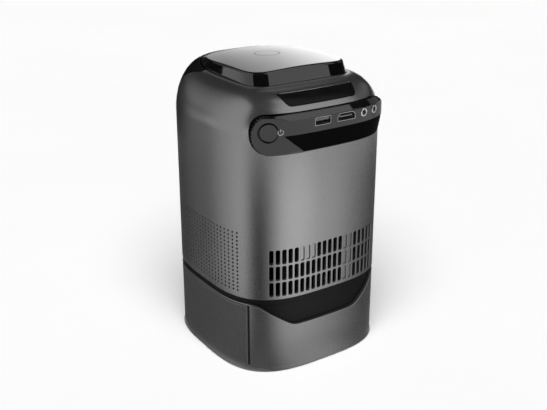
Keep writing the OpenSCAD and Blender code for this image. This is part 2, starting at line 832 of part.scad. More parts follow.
// Sockets on the port panel
port_z = board_z + board_t;
usb_x = 6.4;
usb_w = 13.1;
usb_h = 5.7;
hdmi_x = -13;
hdmi_w = 15;
hdmi_h = 5.6;
hdmi_cut = 2;
socket_t = 0.45;
socket_y0 = 50;
socket_back = 1;
socket_tongue_y = 60.2;
jack_r = 3;
jack_bore_r = 1.8;
jack_z = 181.6;
audio_s = -28.3;
dc_s = -39.6;
jack_proud = 0.5;
jack_depth = 15;
jack_end = 1.5;
jack_body_y = -7;
jack_hole_depth = 8;
jack_body_half = 4;
jack_body_h = 6.5;
dc_pin_r = 0.65;
dc_pin_y = -2;
usb_tongue_half = 5.6;
usb_tongue_z = [3, 4.8];
hdmi_tongue_half = 5.4;
hdmi_tongue_z = [2.4, 3.4];
socket_gap = 0.1;
cut_out = 4;

// Outer face of the panel, flatter than the wall so that its ends stand proud,
// and leaning back above the sockets
panel_ax = 65;
panel_ay = 65.2;
panel_p = 3.4;
panel_lean_z = 185;
panel_lean = 3.4;
function panel_pt(phi) =
    let (r = plan_r(phi, panel_p)) [panel_ax * r * sin(phi), panel_ay * r * cos(phi)];
function panel_y(x) = panel_ay * pow(1 - pow(abs(x) / panel_ax, panel_p), 1 / panel_p);
// Outward direction of the panel face at x, as a turn about Z away from +Y
function panel_turn(x) = atan2(panel_y(x + 0.1) - panel_y(x - 0.1), 0.2);
socket_set = 0.2;
socket_y1 = panel_y(hdmi_x) - socket_set;
module at_panel(s, z) {
    x = plan_at(s)[0];
    translate([x, panel_y(x), z]) rotate([0, 0, panel_turn(x)]) children();
}
function box_outline(w, h) = [[-w / 2, 0], [w / 2, 0], [w / 2, h], [-w / 2, h]];
function hdmi_outline(g) =
    let (w = hdmi_w / 2 + g, h = hdmi_h + g)
        [[-w, -g], [w, -g], [w, h - hdmi_cut], [w - hdmi_cut, h], [-w + hdmi_cut, h], [-w, h - hdmi_cut]];
function hdmi_outline_inner() =
    let (w = hdmi_w / 2 - socket_t, h = hdmi_h - socket_t, c = hdmi_cut - socket_t / 2)
        [[-w, socket_t], [w, socket_t], [w, h - c], [w - c, h], [-w + c, h], [-w, h - c]];

module usb_port() {
    color(steel) translate([usb_x, 0, port_z]) {
        difference() {
            upright(socket_y0, socket_y1) polygon(box_outline(usb_w, usb_h));
            translate([0, 0, socket_t]) upright(socket_y0 + socket_back, socket_y1 + over)
                polygon(box_outline(usb_w - 2 * socket_t, usb_h - 2 * socket_t));
        }
        block(-usb_tongue_half, usb_tongue_half, socket_y0 + socket_back - eps, socket_tongue_y,
              usb_tongue_z[0], usb_tongue_z[1]);
    }
}
module hdmi_port() {
    color(steel) translate([hdmi_x, 0, port_z]) {
        difference() {
            upright(socket_y0, socket_y1) polygon(hdmi_outline(0));
            upright(socket_y0 + socket_back, socket_y1 + over) polygon(hdmi_outline_inner());
        }
        block(-hdmi_tongue_half, hdmi_tongue_half, socket_y0 + socket_back - eps, socket_tongue_y,
              hdmi_tongue_z[0], hdmi_tongue_z[1]);
    }
}
module jack(s) {
    body_z = port_z - jack_z;
    at_panel(s, jack_z) difference() {
        union() {
            rod_y(0, 0, jack_r, jack_body_y - eps, jack_proud);
            block(-jack_body_half, jack_body_half, -jack_depth, jack_body_y, body_z, body_z + jack_body_h);
        }
        rod_y(0, 0, jack_bore_r, -jack_depth + jack_end, jack_proud + over);
    }
}
module audio_jack() {
    color(steel) jack(audio_s);
}
module dc_inlet() {
    color(steel) {
        jack(dc_s);
        at_panel(dc_s, jack_z) rod_y(0, 0, dc_pin_r, -jack_depth + jack_end - eps, dc_pin_y);
    }
}

// Port panel with a guide tube for the power button
power_r = 5.9;
power_gap = 0.1;
power_ring_r = 6.7;
power_ring_depth = 0.8;
guide_r = 8;
guide_gap = 0.2;
guide_depth = 8;
guide_root = 2;
panel_step = 0.1;
power_flange_r = 7;
power_flange_t = 0.75;
power_proud = 0.1;
power_rest_gap = 0.02;
switch_gap = 0.5;
switch_base_t = 2;
switch_clear = 0.3;
switch_pin_r = 1.5;
switch_pin_h = 0.35;
mitre_top = 36.1;
mitre_low = 20.9;
module port_panel() {
    mitre = [[plan_at(mitre_top)[0], crease_z + eps], [plan_at(mitre_low)[0], panel_z0 - over],
             [outside, panel_z0 - over], [outside, crease_z + eps]];
    face = [for (phi = back_phi) panel_pt(phi)];
    color(gloss_black) difference() {
        union() {
            difference() {
                intersection() {
                    union() {
                        loft([at_height(outline(half + panel_step, back_phi), panel_z0),
                              at_height(face, crease_z), at_height(face, panel_lean_z),
                              at_height(face * (1 - panel_lean / panel_ay), panel_z1)]);
                        intersection() {
                            translate([0, 0, panel_z0]) linear_extrude(crease_z - panel_z0) polygon(face);
                            upright(back_cut, outside) polygon(mitre);
                        }
                    }
                    upright(back_cut, outside) polygon(panel_outline(0));
                }
                body_loft(panel_seat, panel_z0 - over, back_phi);
            }
            at_panel(power_s, power_z) rod_y(0, 0, guide_r, -guide_depth, -guide_root);
        }
        at_panel(power_s, power_z) {
            rod_y(0, 0, power_r + power_gap, -guide_depth - over, cut_out);
            rod_y(0, 0, power_ring_r, -power_ring_depth, cut_out);
        }
        translate([usb_x, 0, port_z]) upright(back_cut, outside)
            translate([0, -socket_gap]) polygon(box_outline(usb_w + 2 * socket_gap, usb_h + 2 * socket_gap));
        translate([hdmi_x, 0, port_z]) upright(back_cut, outside) polygon(hdmi_outline(socket_gap));
        for (s = [audio_s, dc_s]) at_panel(s, jack_z) rod_y(0, 0, jack_r, -jack_hole_depth, cut_out);
    }
}
module power_button() {
    color(gloss_black) at_panel(power_s, power_z) {
        rod_y(0, 0, power_r, -guide_depth - power_flange_t, power_proud);
        rod_y(0, 0, power_flange_r, -guide_depth - power_flange_t, -guide_depth - power_rest_gap);
    }
}
module power_switch() {
    cup = guide_depth + power_flange_t + power_travel + switch_gap;
    color([0.2, 0.2, 0.2]) at_panel(power_s, power_z) {
        difference() {
            rod_y(0, 0, guide_r, -cup - switch_base_t, -guide_depth);
            rod_y(0, 0, power_flange_r + switch_clear, -cup, -guide_depth + over);
        }
        rod_y(0, 0, switch_pin_r, -cup - eps, -cup + switch_pin_h);
    }
}

module shoulder_window() {
    color(satin_black) intersection() {
        difference() {
            body_loft(window_set, shoulder_z - over, back_phi);
            body_loft(window_floor, shoulder_z - 2 * over, back_phi);
        }
        upright(window_y0, half) polygon(window_outline(0));
    }
}

// Speaker base
driver_z = 26;
driver_r = 19;
cone_r = 16.5;
baffle_in = 48;
baffle_out = 50;
magnet_r = 14;
driver_depth = 18;
cone_depth = 3;
dust_cap_r = 5;
surround_w = 2;
surround_h = 0.6;
basket_t = 2;
basket_depth = 9;
module speaker(side) {
    color(satin_black) rotate([0, 0, side > 0 ? 0 : 180]) translate([baffle_in, 0, driver_z])
        rotate([0, -90, 0]) rotate_extrude()
            polygon([[0, cone_depth], [dust_cap_r, cone_depth - over], [cone_r - surround_w, 0],
                     [cone_r - surround_w / 2, -surround_h], [cone_r, 0], [driver_r, 0],
                     [driver_r, basket_t], [cone_r + over, basket_t], [magnet_r, basket_depth],
                     [magnet_r, driver_depth], [0, driver_depth]]);
}
module speaker_left() {
    speaker(1);
}
module speaker_right() {
    speaker(-1);
}
module speaker_grille(side) {
    w = grille_half - grille_groove;
    color(mesh_grey) intersection() {
        ring_wall(half, half - grille_t, grille_z0, grille_z1);
        rotate([0, 0, side > 0 ? 0 : 180]) block(back_cut, half + over, -w, w, grille_z0, grille_z1);
    }
}
module speaker_grille_left() {
    speaker_grille(1);
}
module speaker_grille_right() {
    speaker_grille(-1);
}

rib_h = 5.6;
rib_x = 18;
insert_r = 4.5;
insert_boss_r = 8;
thread_r = 2.55;
rib_half = 36;
rib_t = 2;
baffle_half = 32;
plate_gap = 0.2;
pack_top = plate_top + rib_h;
module bottom_plate() {
    color(satin_black) difference() {
        union() {
            prism(inside - plate_gap, floor_z, plate_top);
            rod_z(0, 0, insert_boss_r, plate_top - eps, pack_top);
            for (x = [-rib_x, rib_x])
                block(x - rib_t / 2, x + rib_t / 2, -rib_half, rib_half, plate_top - eps, pack_top);
            for (s = [0, 1]) mirror([s, 0, 0]) difference() {
                block(baffle_in, baffle_out, -baffle_half, baffle_half, plate_top - eps, lower_tongue_z);
                rod_x(0, driver_z, cone_r, baffle_in - over, baffle_out + over);
            }
        }
        rod_z(0, 0, insert_r, floor_z - over, pack_top + over);
        four_corners(plate_screw_x, plate_screw_y) {
            rod_z(0, 0, screw_hole_r + screw_clear, floor_z - over, plate_top + over);
            rod_z(0, 0, screw_head_r + screw_clear, floor_z - over, floor_z + screw_head_h);
        }
    }
}
pack_w = 52;
pack_l = 74;
pack_h = 20;
pack_r = 6;
module battery_pack() {
    color([0.20, 0.28, 0.42]) translate([0, 0, pack_top]) linear_extrude(pack_h)
        polygon(rounded_rect(pack_w, pack_l, pack_r));
}
foot_r = 6.5;
module rubber_feet() {
    color([0.10, 0.10, 0.10]) four_corners(corner_post, corner_post) rod_z(0, 0, foot_r, 0, floor_z);
}
module tripod_insert() {
    color([0.80, 0.66, 0.35]) difference() {
        rod_z(0, 0, insert_r, floor_z, pack_top);
        rod_z(0, 0, thread_r, floor_z - over, pack_top + over);
    }
}
bottom_screw_reach = 9;
frame_screw_reach = 10;
hex_r = 1.2;
hex_depth = 1;
module bottom_screws() {
    color(steel) four_corners(plate_screw_x, plate_screw_y) difference() {
        union() {
            rod_z(0, 0, screw_head_r, floor_z, floor_z + screw_head_h);
            rod_z(0, 0, screw_r, floor_z + screw_head_h - eps, plate_top + bottom_screw_reach);
        }
        rod_z(0, 0, hex_r, floor_z - over, floor_z + hex_depth, $fn = 6);
    }
}
module frame_screws() {
    color(steel) four_corners(corner_post, corner_post) {
        rod_z(0, 0, screw_head_r, post_seat_z - screw_head_h, post_seat_z);
        rod_z(0, 0, screw_r, post_seat_z - eps, deck_top + frame_screw_reach);
    }
}

upper_shell();
base_shell();
mid_frame();
top_cover();
top_button();
touch_board();
front_panel();
lens_bezel();
lens_barrel();
front_lens();
rear_lens();
lens_mount();
focus_ring();
focus_pinion();
focus_motor();
light_engine();
imaging_board();
led_module();
heat_sink();
fan_frame();
fan_impeller();
chassis();
main_board();
io_board();
usb_port();
hdmi_port();
audio_jack();
dc_inlet();
port_panel();
power_button();
power_switch();
shoulder_window();
speaker_left();
speaker_right();
speaker_grille_left();
speaker_grille_right();
battery_pack();
bottom_plate();
rubber_feet();
tripod_insert();
bottom_screws();
frame_screws();
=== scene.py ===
"""Looks of the tower video projector: smooth skins, finishes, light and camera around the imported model."""
import math

import bpy
import numpy as np
from mathutils import Matrix, Vector
from mathutils.geometry import delaunay_2d_cdt


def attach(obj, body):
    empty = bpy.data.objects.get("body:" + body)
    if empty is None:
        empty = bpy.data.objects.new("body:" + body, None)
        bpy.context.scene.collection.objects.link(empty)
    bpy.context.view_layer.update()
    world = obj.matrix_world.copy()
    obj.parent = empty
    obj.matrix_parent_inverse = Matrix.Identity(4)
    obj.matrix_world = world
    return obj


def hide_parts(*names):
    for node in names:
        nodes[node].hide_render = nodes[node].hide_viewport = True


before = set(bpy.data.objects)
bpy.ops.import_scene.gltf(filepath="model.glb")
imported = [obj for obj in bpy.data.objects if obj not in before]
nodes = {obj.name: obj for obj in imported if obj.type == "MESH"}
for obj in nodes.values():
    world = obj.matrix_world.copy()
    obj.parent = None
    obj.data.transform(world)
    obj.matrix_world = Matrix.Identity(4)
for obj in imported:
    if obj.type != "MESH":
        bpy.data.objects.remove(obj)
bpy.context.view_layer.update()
MM = 0.001
# Steps of a search by halving, and the size below which points count as one
HALVINGS = 45
TINY = 1e-6

# Housing, in millimetres: the plan is a superellipse, and phi runs from the back towards +X
HALF = 64.0
PLAN_POWER = 3.24
WALL = 2.4
BASE_TOP = 53.0
WAIST_TOP = 57.2
SHOULDER_Z = 173.2
SHOULDER_RUN = 36.0
SHELL_TOP = SHOULDER_Z + SHOULDER_RUN
RIM_Z = 201.6
RIM_RISE = 6.0
RIM = dict(ax=41.7, back=45.4, front=47.0, yc=-8.9, p_back=7.0, p_front=3.4)
SEAT_Z = 197.5
EDGE_R = 0.35


def plan_r(phi, p):
    return (np.abs(np.sin(phi)) ** p + np.abs(np.cos(phi)) ** p) ** (-1 / p)


def plan_xy(phi, a=HALF, p=PLAN_POWER):
    r = a * plan_r(phi, p)
    return np.stack([r * np.sin(phi), r * np.cos(phi)], -1)


def oval_xy(phi, ax, back, front, yc, p_back, p_front, inset=0.0):
    """Closed outline with its own half width, back and front reach and squareness."""
    rear = np.cos(phi) >= 0
    r = np.where(rear, plan_r(phi, p_back), plan_r(phi, p_front))
    reach = np.where(rear, back - inset, front - inset)
    return np.stack([(ax - inset) * r * np.sin(phi), yc + reach * r * np.cos(phi)], -1)


def rim_height(phi):
    reach = np.maximum(0, -np.cos(phi)) * plan_r(phi, RIM["p_front"])
    return RIM_Z + RIM_RISE * reach**2


def run_of(line):
    """Distance along a polyline to each of its points."""
    return np.concatenate([[0], np.cumsum(np.linalg.norm(np.diff(line, axis=0), axis=1))])


# Arc length round the plan, zero at the middle of the back
PHI = np.linspace(-math.pi, math.pi, 7201)
ARC = run_of(plan_xy(PHI))
LOOP = ARC[-1]
ARC = ARC - LOOP / 2


def phi_of(s):
    return np.interp((s + LOOP / 2) % LOOP - LOOP / 2, ARC, PHI)


def s_of(phi):
    return np.interp(phi, PHI, ARC)


def plan_x(s):
    return plan_xy(phi_of(s))[..., 0]


def s_at_x(x):
    """Arc length of the point of the back wall at x."""
    near = np.abs(PHI) < math.pi / 2
    return np.interp(x, plan_xy(PHI[near])[:, 0], ARC[near])


def shell_xyz(s, t):
    """Outer face of the housing: t is the height up to the shoulder, and then runs on over it to the rim."""
    phi = phi_of(s)
    u = np.clip((t - SHOULDER_Z) / SHOULDER_RUN, 0, 1) * math.pi / 2
    f = (1 - np.cos(u))[:, None]
    xy = plan_xy(phi) * (1 - f) + oval_xy(phi, **RIM) * f
    z = np.where(t < SHOULDER_Z, t, SHOULDER_Z + (rim_height(phi) - SHOULDER_Z) * np.sin(u))
    return np.column_stack([xy, z])


def prism_xyz(a):
    """Upright wall on the plan, with half width a."""
    return lambda s, t: np.column_stack([plan_xy(phi_of(s), a), t])


def on_wall(x, z, front=False):
    """Surface coordinates of the point of the housing that shows at x, z from straight behind or in front."""
    x, z = np.broadcast_arrays(np.asarray(x, float), np.asarray(z, float))
    low, high = np.full(x.shape, -math.pi / 2), np.full(x.shape, math.pi / 2)
    for _ in range(HALVINGS):
        mid = (low + high) / 2
        phi = math.pi - mid if front else mid
        u = np.arcsin(np.clip((z - SHOULDER_Z) / (rim_height(phi) - SHOULDER_Z), 0, 1))
        f = 1 - np.cos(u)
        at = plan_xy(phi)[:, 0] * (1 - f) + oval_xy(phi, **RIM)[:, 0] * f
        low, high = np.where(at < x, mid, low), np.where(at < x, high, mid)
    t = np.where(z <= SHOULDER_Z, z, SHOULDER_Z + u / (math.pi / 2) * SHOULDER_RUN)
    s = s_of((low + high) / 2)
    return np.column_stack([LOOP / 2 - s if front else s, t])


def unit(v):
    return v / np.linalg.norm(v, axis=-1, keepdims=True)


def turned(loop):
    """Outward directions of a closed loop that has its sheet on the left."""
    along = np.roll(loop, -1, 0) - np.roll(loop, 1, 0)
    return unit(np.column_stack([along[:, 1], -along[:, 0]]))


def inside(points, loop):
    """Which points lie in a closed polygon."""
    x, y = points[:, 0], points[:, 1]
    hit = np.zeros(len(points), bool)
    for (x0, y0), (x1, y1) in zip(loop, np.roll(loop, -1, 0)):
        crosses = (y0 > y) != (y1 > y)
        with np.errstate(divide="ignore", invalid="ignore"):
            hit ^= crosses & (x < (x1 - x0) * (y - y0) / (y1 - y0) + x0)
    return hit


def eased(points, radii, steps=4):
    """Polyline, or stack of rows, whose inner corners are rounded from the given distance on either side."""
    points = [np.asarray(p, float) for p in points]
    made = [points[0]]
    for before, p, after, r in zip(points, points[1:], points[2:], radii):
        to, on = before - p, after - p
        a = p + to * np.minimum(r / np.linalg.norm(to, axis=-1, keepdims=True), 0.5)
        b = p + on * np.minimum(r / np.linalg.norm(on, axis=-1, keepdims=True), 0.5)
        for w in np.linspace(0, 1, steps + 1) if r else [0.5]:
            made.append((1 - w) ** 2 * a + 2 * w * (1 - w) * p + w**2 * b if r else p)
    return made + [points[-1]]


def rounded(corners, r, arc=4):
    """Closed outline through corners that are rounded from the distance r on either side."""
    c = [np.asarray(p, float) for p in corners]
    return np.array(eased([c[-1], *c, c[0]], [r] * len(c), arc)[1:-1])


def box(w, h, r, arc=4):
    """Clockwise rounded rectangle about the origin, so that a sheet around it lies on the left."""
    return rounded([(-w / 2, h / 2), (w / 2, h / 2), (w / 2, -h / 2), (-w / 2, -h / 2)], r, arc)


def circle(r, sides):
    a = -np.arange(sides) * 2 * math.pi / sides
    return np.column_stack([np.cos(a), np.sin(a)]) * r


def level(s, z):
    """Points along s at one height."""
    return np.column_stack([s, np.full(len(s), z)])


def upright(s, t):
    """Points up the wall at one place along s."""
    return np.column_stack([np.full(len(t), s), t])


def lattice(across, up):
    return np.stack(np.meshgrid(across, up), -1).reshape(-1, 2)


def divided(line, step):
    """Polyline whose stretches are cut into even steps."""
    made = [line[0]]
    for a, b in zip(line, line[1:]):
        n = max(1, int(np.linalg.norm(b - a) / step))
        made += [a + (b - a) * k / n for k in range(1, n + 1)]
    return np.array(made)


def joined(parts):
    """One outline made of stretches, and the place where each of them starts."""
    return np.concatenate(parts), np.cumsum([0] + [len(p) for p in parts]).tolist()


# Points are joined where they, in metres, and their normals round to the same counts
PLACE_GRID, NORMAL_GRID = 1e7, 20


class Piece:
    """Points with normals, and faces with the number of their finish, of one piece in millimetres."""

    def __init__(self):
        self.co, self.no, self.faces, self.kinds = [], [], [], []
        self.count = 0

    def put(self, co, no):
        first = self.count
        self.co.append(co)
        self.no.append(no)
        self.count += len(co)
        return np.arange(first, self.count)

    def add(self, faces, kind):
        self.faces += faces
        self.kinds += [kind] * len(faces)

    def loft(self, rows, kind=0, closed=True):
        """Joins rows of points, clockwise from above where they climb. Normals are weighted by area."""
        rows = np.asarray(rows, float)
        count, around = rows.shape[:2]
        index = np.arange(count * around).reshape(count, around)
        low, high = index[:-1], index[1:]
        quads = np.stack([low, high, np.roll(high, -1, 1), np.roll(low, -1, 1)], -1)
        quads = (quads if closed else quads[:, :-1]).reshape(-1, 4)
        flat = rows.reshape(-1, 3)
        area = np.cross(flat[quads[:, 2]] - flat[quads[:, 0]], flat[quads[:, 3]] - flat[quads[:, 1]])
        normals = np.zeros_like(flat)
        for corner in range(4):
            np.add.at(normals, quads[:, corner], area)
        for k in (0, count - 1):
            if np.ptp(rows[k], axis=0).max() < TINY:
                normals[index[k]] = normals[index[k]].mean(0)
        made = self.put(flat, unit(normals))
        self.add([tuple(made[q]) for q in quads], kind)

    def lathe(self, origin, axis, profile, kind=0, sides=72):
        """Turns a profile of radius and height about an axis, from its outer back over the front inwards."""
        axis = unit(np.asarray(axis, float))
        u = unit(np.cross(axis, (0, 0, 1) if abs(axis[2]) < 0.9 else (0, 1, 0)))
        v = np.cross(axis, u)
        a = -np.arange(sides)[:, None] * 2 * math.pi / sides
        ray = u * np.cos(a) + v * np.sin(a)
        self.loft([origin + axis * h + ray * r for r, h in profile], kind)

    def make(self, name, body, slot, finishes, replaced=()):
        """One mesh object that rides on its body. Points in the same place with like normals are joined."""
        co, no = np.concatenate(self.co) * MM, np.concatenate(self.no)
        place = np.round(co * PLACE_GRID)
        spot = np.unique(place, axis=0, return_inverse=True)[1].reshape(-1)
        key = np.column_stack([place, np.round(no * NORMAL_GRID)])
        _, first, where = np.unique(key, axis=0, return_index=True, return_inverse=True)
        where = where.reshape(-1)
        used = [tuple({spot[i]: where[i] for i in f}.values()) for f in self.faces]
        solid = [i for i, f in enumerate(used) if len(f) > 2]
        mesh = bpy.data.meshes.new(name)
        mesh.from_pydata(co[first].tolist(), [], [used[i] for i in solid])
        mesh.polygons.foreach_set("material_index", [self.kinds[i] for i in solid])
        mesh.shade_smooth()
        mesh.normals_split_custom_set_from_vertices(no[first].tolist())
        for finish in finishes:
            mesh.materials.append(finish)
        piece = bpy.data.objects.new(name, mesh)
        bpy.context.scene.collection.objects.link(piece)
        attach(piece, body)
        if replaced:
            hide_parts(*replaced)
        return piece


class Skin(Piece):
    """A sheet laid on a surface. Its outline and holes are triangulated in the surface's own coordinates."""

    NUDGE = 0.05
    ROOM = 0.4
    BLOCK = 400

    def __init__(self, xyz, into=None):
        super().__init__()
        self.xyz = xyz
        self.into = into

    def normal(self, st):
        h = self.NUDGE
        s, t = st[:, 0], st[:, 1]
        along = self.xyz(s + h, t) - self.xyz(s - h, t)
        up = self.xyz(s, t + h) - self.xyz(s, t - h)
        return unit(np.cross(up, along))

    def sheet(self, outline, holes, step, extra=(), kind=None):
        """Fills the outline around the holes. Returns the vertices of the outline and of each hole."""
        loops = [outline, *holes]
        step_s, step_t = step
        low, high = outline.min(0), outline.max(0)
        across = np.arange(low[0] + step_s / 2, high[0], step_s)
        up = np.arange(low[1] + step_t / 2, high[1], step_t)
        grid = np.concatenate([lattice(across, up), *extra])
        grid = grid[inside(grid, outline)]
        room = self.ROOM * min(step_s, step_t)
        for hole in holes:
            c, reach = hole.mean(0), np.abs(hole - hole.mean(0)).max(0) + room
            near = (np.abs(grid - c) < reach).all(1)
            grid = grid[~near | ~inside(grid, c + (hole - c) * (1 + room / reach.max()))]
        edge, starts = joined(loops)
        keep = np.ones(len(grid), bool)
        for block in np.array_split(np.arange(len(grid)), max(1, len(grid) // self.BLOCK)):
            gap = np.abs(grid[block][:, None, :] - edge[None, :, :])
            keep[block] = ~((gap[..., 0] < room) & (gap[..., 1] < room)).any(1)
        points = np.concatenate([edge, grid[keep]])
        ties = []
        for a, b in zip(starts, starts[1:]):
            ties += [(i, i + 1 if i + 1 < b else a) for i in range(a, b)]
        done = delaunay_2d_cdt([Vector(p) for p in points], ties, [], 1, TINY)
        flat = np.array([tuple(v) for v in done[0]])
        tris = np.array(done[2])
        centre = flat[tris].mean(1)
        drop = np.zeros(len(tris), bool)
        for hole in holes:
            low, high = hole.min(0), hole.max(0)
            near = np.flatnonzero(((centre > low) & (centre < high)).all(1))
            drop[near] |= inside(centre[near], hole)
        index = self.put(self.xyz(*flat.T), self.normal(flat))
        second = np.zeros(len(tris), bool) if kind is None else kind(centre)
        for number, chosen in enumerate((~second, second)):
            self.add([tuple(index[[a, c, b]]) for a, b, c in tris[~drop & chosen]], number)
        made = {}
        for new, old in enumerate(done[3]):
            for o in old:
                made[o] = index[new]
        return [np.array([made[k] for k in range(a, b)]) for a, b in zip(starts, starts[1:])]

    def hem(self, ring, loop, radius, depth, steps=3, span=None, kind=0):
        """Rounds the sheet's edge over and carries it inwards. Returns the last ring of vertices."""
        pick = np.arange(len(loop)) if span is None else np.arange(*span) % len(loop)
        joints = len(pick) if span is None else len(pick) - 1
        out, loop, last = turned(loop)[pick], loop[pick], ring[pick]
        angles = np.linspace(0, math.pi / 2, steps + 1)[1:]
        rows = [(radius * math.sin(a), radius * (1 - math.cos(a)), a) for a in angles]
        for shift, sunk, angle in rows + [(radius, depth, math.pi / 2)]:
            st = loop + out * shift
            n = self.normal(st)
            nudge = out * self.NUDGE
            side = unit(self.xyz(*(st + nudge).T) - self.xyz(*(st - nudge).T))
            down = -n if self.into is None else np.broadcast_to(self.into, n.shape)
            facing = unit(n * math.cos(angle) + side * math.sin(angle))
            index = self.put(self.xyz(*st.T) + down * sunk, facing)
            after = np.roll(np.arange(len(pick)), -1)
            self.add([(last[i], last[after[i]], index[after[i]], index[i]) for i in range(joints)], kind)
            last = index
        return last

    def cap(self, ring, kind=0):
        """Closes a hole at the bottom with one flat face of its own."""
        co = np.concatenate(self.co)[ring]
        n = np.cross(co[1] - co[0], co[2] - co[0])
        n = np.broadcast_to(n / np.linalg.norm(n), co.shape)
        index = self.put(co, -n)
        self.add([tuple(index[::-1])], kind)


def feed(tree, node, inputs):
    """Sets a node's inputs to values, or links them to other nodes' outputs."""
    for key, given in inputs.items():
        if isinstance(given, bpy.types.NodeSocket):
            tree.links.new(given, node.inputs[key])
        else:
            node.inputs[key].default_value = given
    return node


def node_of(tree, kind, inputs):
    return feed(tree, tree.nodes.new("ShaderNode" + kind), inputs)


# Materials: each has its own grain in colour, roughness and relief
GRAIN_DETAIL, GRAIN_SPAN, LEAST_ROUGH = 3.0, (0.3, 0.7), 0.01


def material(name, colour, roughness, metallic=0.0, specular=0.5, grain=900.0, tone=0.08, rough_tone=0.06,
             relief=0.0, transmission=0.0, mirror=(1, 1, 1)):
    """A finish with fine noise: tone shifts its colour, rough_tone its roughness, relief is in metres."""
    made = bpy.data.materials.new(name)
    made.use_nodes = True
    tree = made.node_tree
    place = node_of(tree, "TexCoord", {})
    noise = node_of(tree, "TexNoise", {
        "Scale": grain, "Detail": GRAIN_DETAIL, "Vector": place.outputs["Object"]})
    grained = noise.outputs["Fac"]
    ramp = node_of(tree, "ValToRGB", {"Fac": grained})
    for stop, at, shift in zip(ramp.color_ramp.elements, GRAIN_SPAN, (1 - tone, 1 + tone)):
        stop.position = at
        stop.color = (*[min(1, c * shift) for c in colour], 1)
    spread = node_of(tree, "MapRange", {
        "To Min": max(LEAST_ROUGH, roughness - rough_tone), "To Max": roughness + rough_tone,
        "Value": grained})
    shader = feed(tree, tree.nodes["Principled BSDF"], {
        "Base Color": ramp.outputs["Color"], "Roughness": spread.outputs["Result"], "Metallic": metallic,
        "Specular IOR Level": specular, "Specular Tint": (*mirror, 1), "Transmission Weight": transmission})
    if relief:
        bump = node_of(tree, "Bump", {"Strength": 1.0, "Distance": relief, "Height": grained})
        feed(tree, shader, {"Normal": bump.outputs["Normal"]})
    return made


SILVER = material("shell_silver", (0.22, 0.22, 0.223), 0.28, metallic=0.93, grain=2600, rough_tone=0.03,
                  relief=0.000002)
RIM_SILVER = material("rim_silver", (0.22, 0.22, 0.223), 0.34, metallic=0.78, grain=2600, rough_tone=0.03,
                      relief=0.000002)
GLOSS = material("gloss_black", (0.002, 0.002, 0.0022), 0.03, specular=0.7, grain=60, tone=0.2,
                 rough_tone=0.01)
FLAT = material("matt_black", (0.0015, 0.0015, 0.0016), 0.5, specular=0.02, grain=2200, relief=0.000006)
SATIN = material("satin_black", (0.005, 0.005, 0.0053), 0.45, specular=0.12, grain=2200, relief=0.00001)
DARK_INSET_GLOSS = material("dark_inset_gloss", (0.004, 0.004, 0.0043), 0.2, specular=0.08, grain=80, tone=0.2,
                  rough_tone=0.02)
MESH = material("grille_paint", (0.065, 0.065, 0.067), 0.5, metallic=0.3, grain=1800, relief=0.00001)
CLOTH = material("grille_cloth", (0.012, 0.012, 0.013), 0.9, specular=0.1, grain=3200, relief=0.00005)
CHROME = material("bright_plate", (0.52, 0.52, 0.53), 0.18, metallic=1.0, grain=500, tone=0.03,
                  rough_tone=0.04)
STEEL = material("socket_steel", (0.40, 0.40, 0.41), 0.3, metallic=1.0, grain=700, tone=0.05)
DARK = material("socket_grey", (0.14, 0.14, 0.145), 0.5, specular=0.3, grain=1500, relief=0.00001)
INK = material("printed_white", (0.33, 0.33, 0.335), 0.5, grain=3000, tone=0.03, relief=0.000004)
RUBBER = material("foot_rubber", (0.02, 0.02, 0.021), 0.75, specular=0.3, grain=1800, tone=0.15,
                  relief=0.00003)
GLASS = material("lens_glass", (0.80, 0.86, 0.92), 0.02, grain=40, tone=0.02, rough_tone=0.005,
                 transmission=1.0, mirror=(0.16, 0.2, 0.42))
BOARD = material("solder_mask", (0.015, 0.10, 0.045), 0.35, grain=400, tone=0.15, relief=0.00001)
ALUMINIUM = material("aluminium", (0.62, 0.62, 0.63), 0.38, metallic=1.0, grain=1400, relief=0.000006)
BRASS = material("brass", (0.60, 0.43, 0.16), 0.3, metallic=1.0, grain=900)
ACETAL = material("acetal", (0.62, 0.61, 0.57), 0.4, grain=900)
COPPER = material("lamp_board", (0.62, 0.36, 0.24), 0.35, metallic=1.0, grain=900)
WRAP = material("battery_wrap", (0.03, 0.07, 0.2), 0.3, grain=300)


# Front cover: straight sides with round lower corners, and a sweep over the shoulder up to the rim
FRONT_HALF, FRONT_Z0, FRONT_R = 53.0, 126.0, 16.0
FRONT_DEPTH, SWEEP_Y, SWEEP_Z, SWEEP_DROP = 44.0, 18.0, 15.3, 0.3
FRONT_GAP = 0.15
RIM_R = 0.6
RIM_DEPTH = 4.0
RIM_BAND = 2.6


def front_reach(t, gap):
    """Angle from the middle of the front to the edge of the front cover, at surface height t."""
    low, high = np.zeros(len(t)), np.full(len(t), math.pi / 2)
    for _ in range(HALVINGS):
        mid = (low + high) / 2
        p = shell_xyz(s_of(math.pi - mid), t)
        drop = np.clip((FRONT_Z0 + FRONT_R - p[:, 2]) / FRONT_R, 0, 1)
        half = FRONT_HALF - gap - FRONT_R * (1 - np.sqrt(1 - drop**2))
        climb = np.clip((p[:, 2] - (RIM_Z - SWEEP_DROP - SWEEP_Z)) / SWEEP_Z, 0, 1)
        rear = SWEEP_Y - FRONT_DEPTH - SWEEP_Y * np.sqrt(1 - climb**2) - gap
        within = (p[:, 0] < half) & (p[:, 1] < rear)
        low, high = np.where(within, mid, low), np.where(within, high, mid)
    return (low + high) / 2


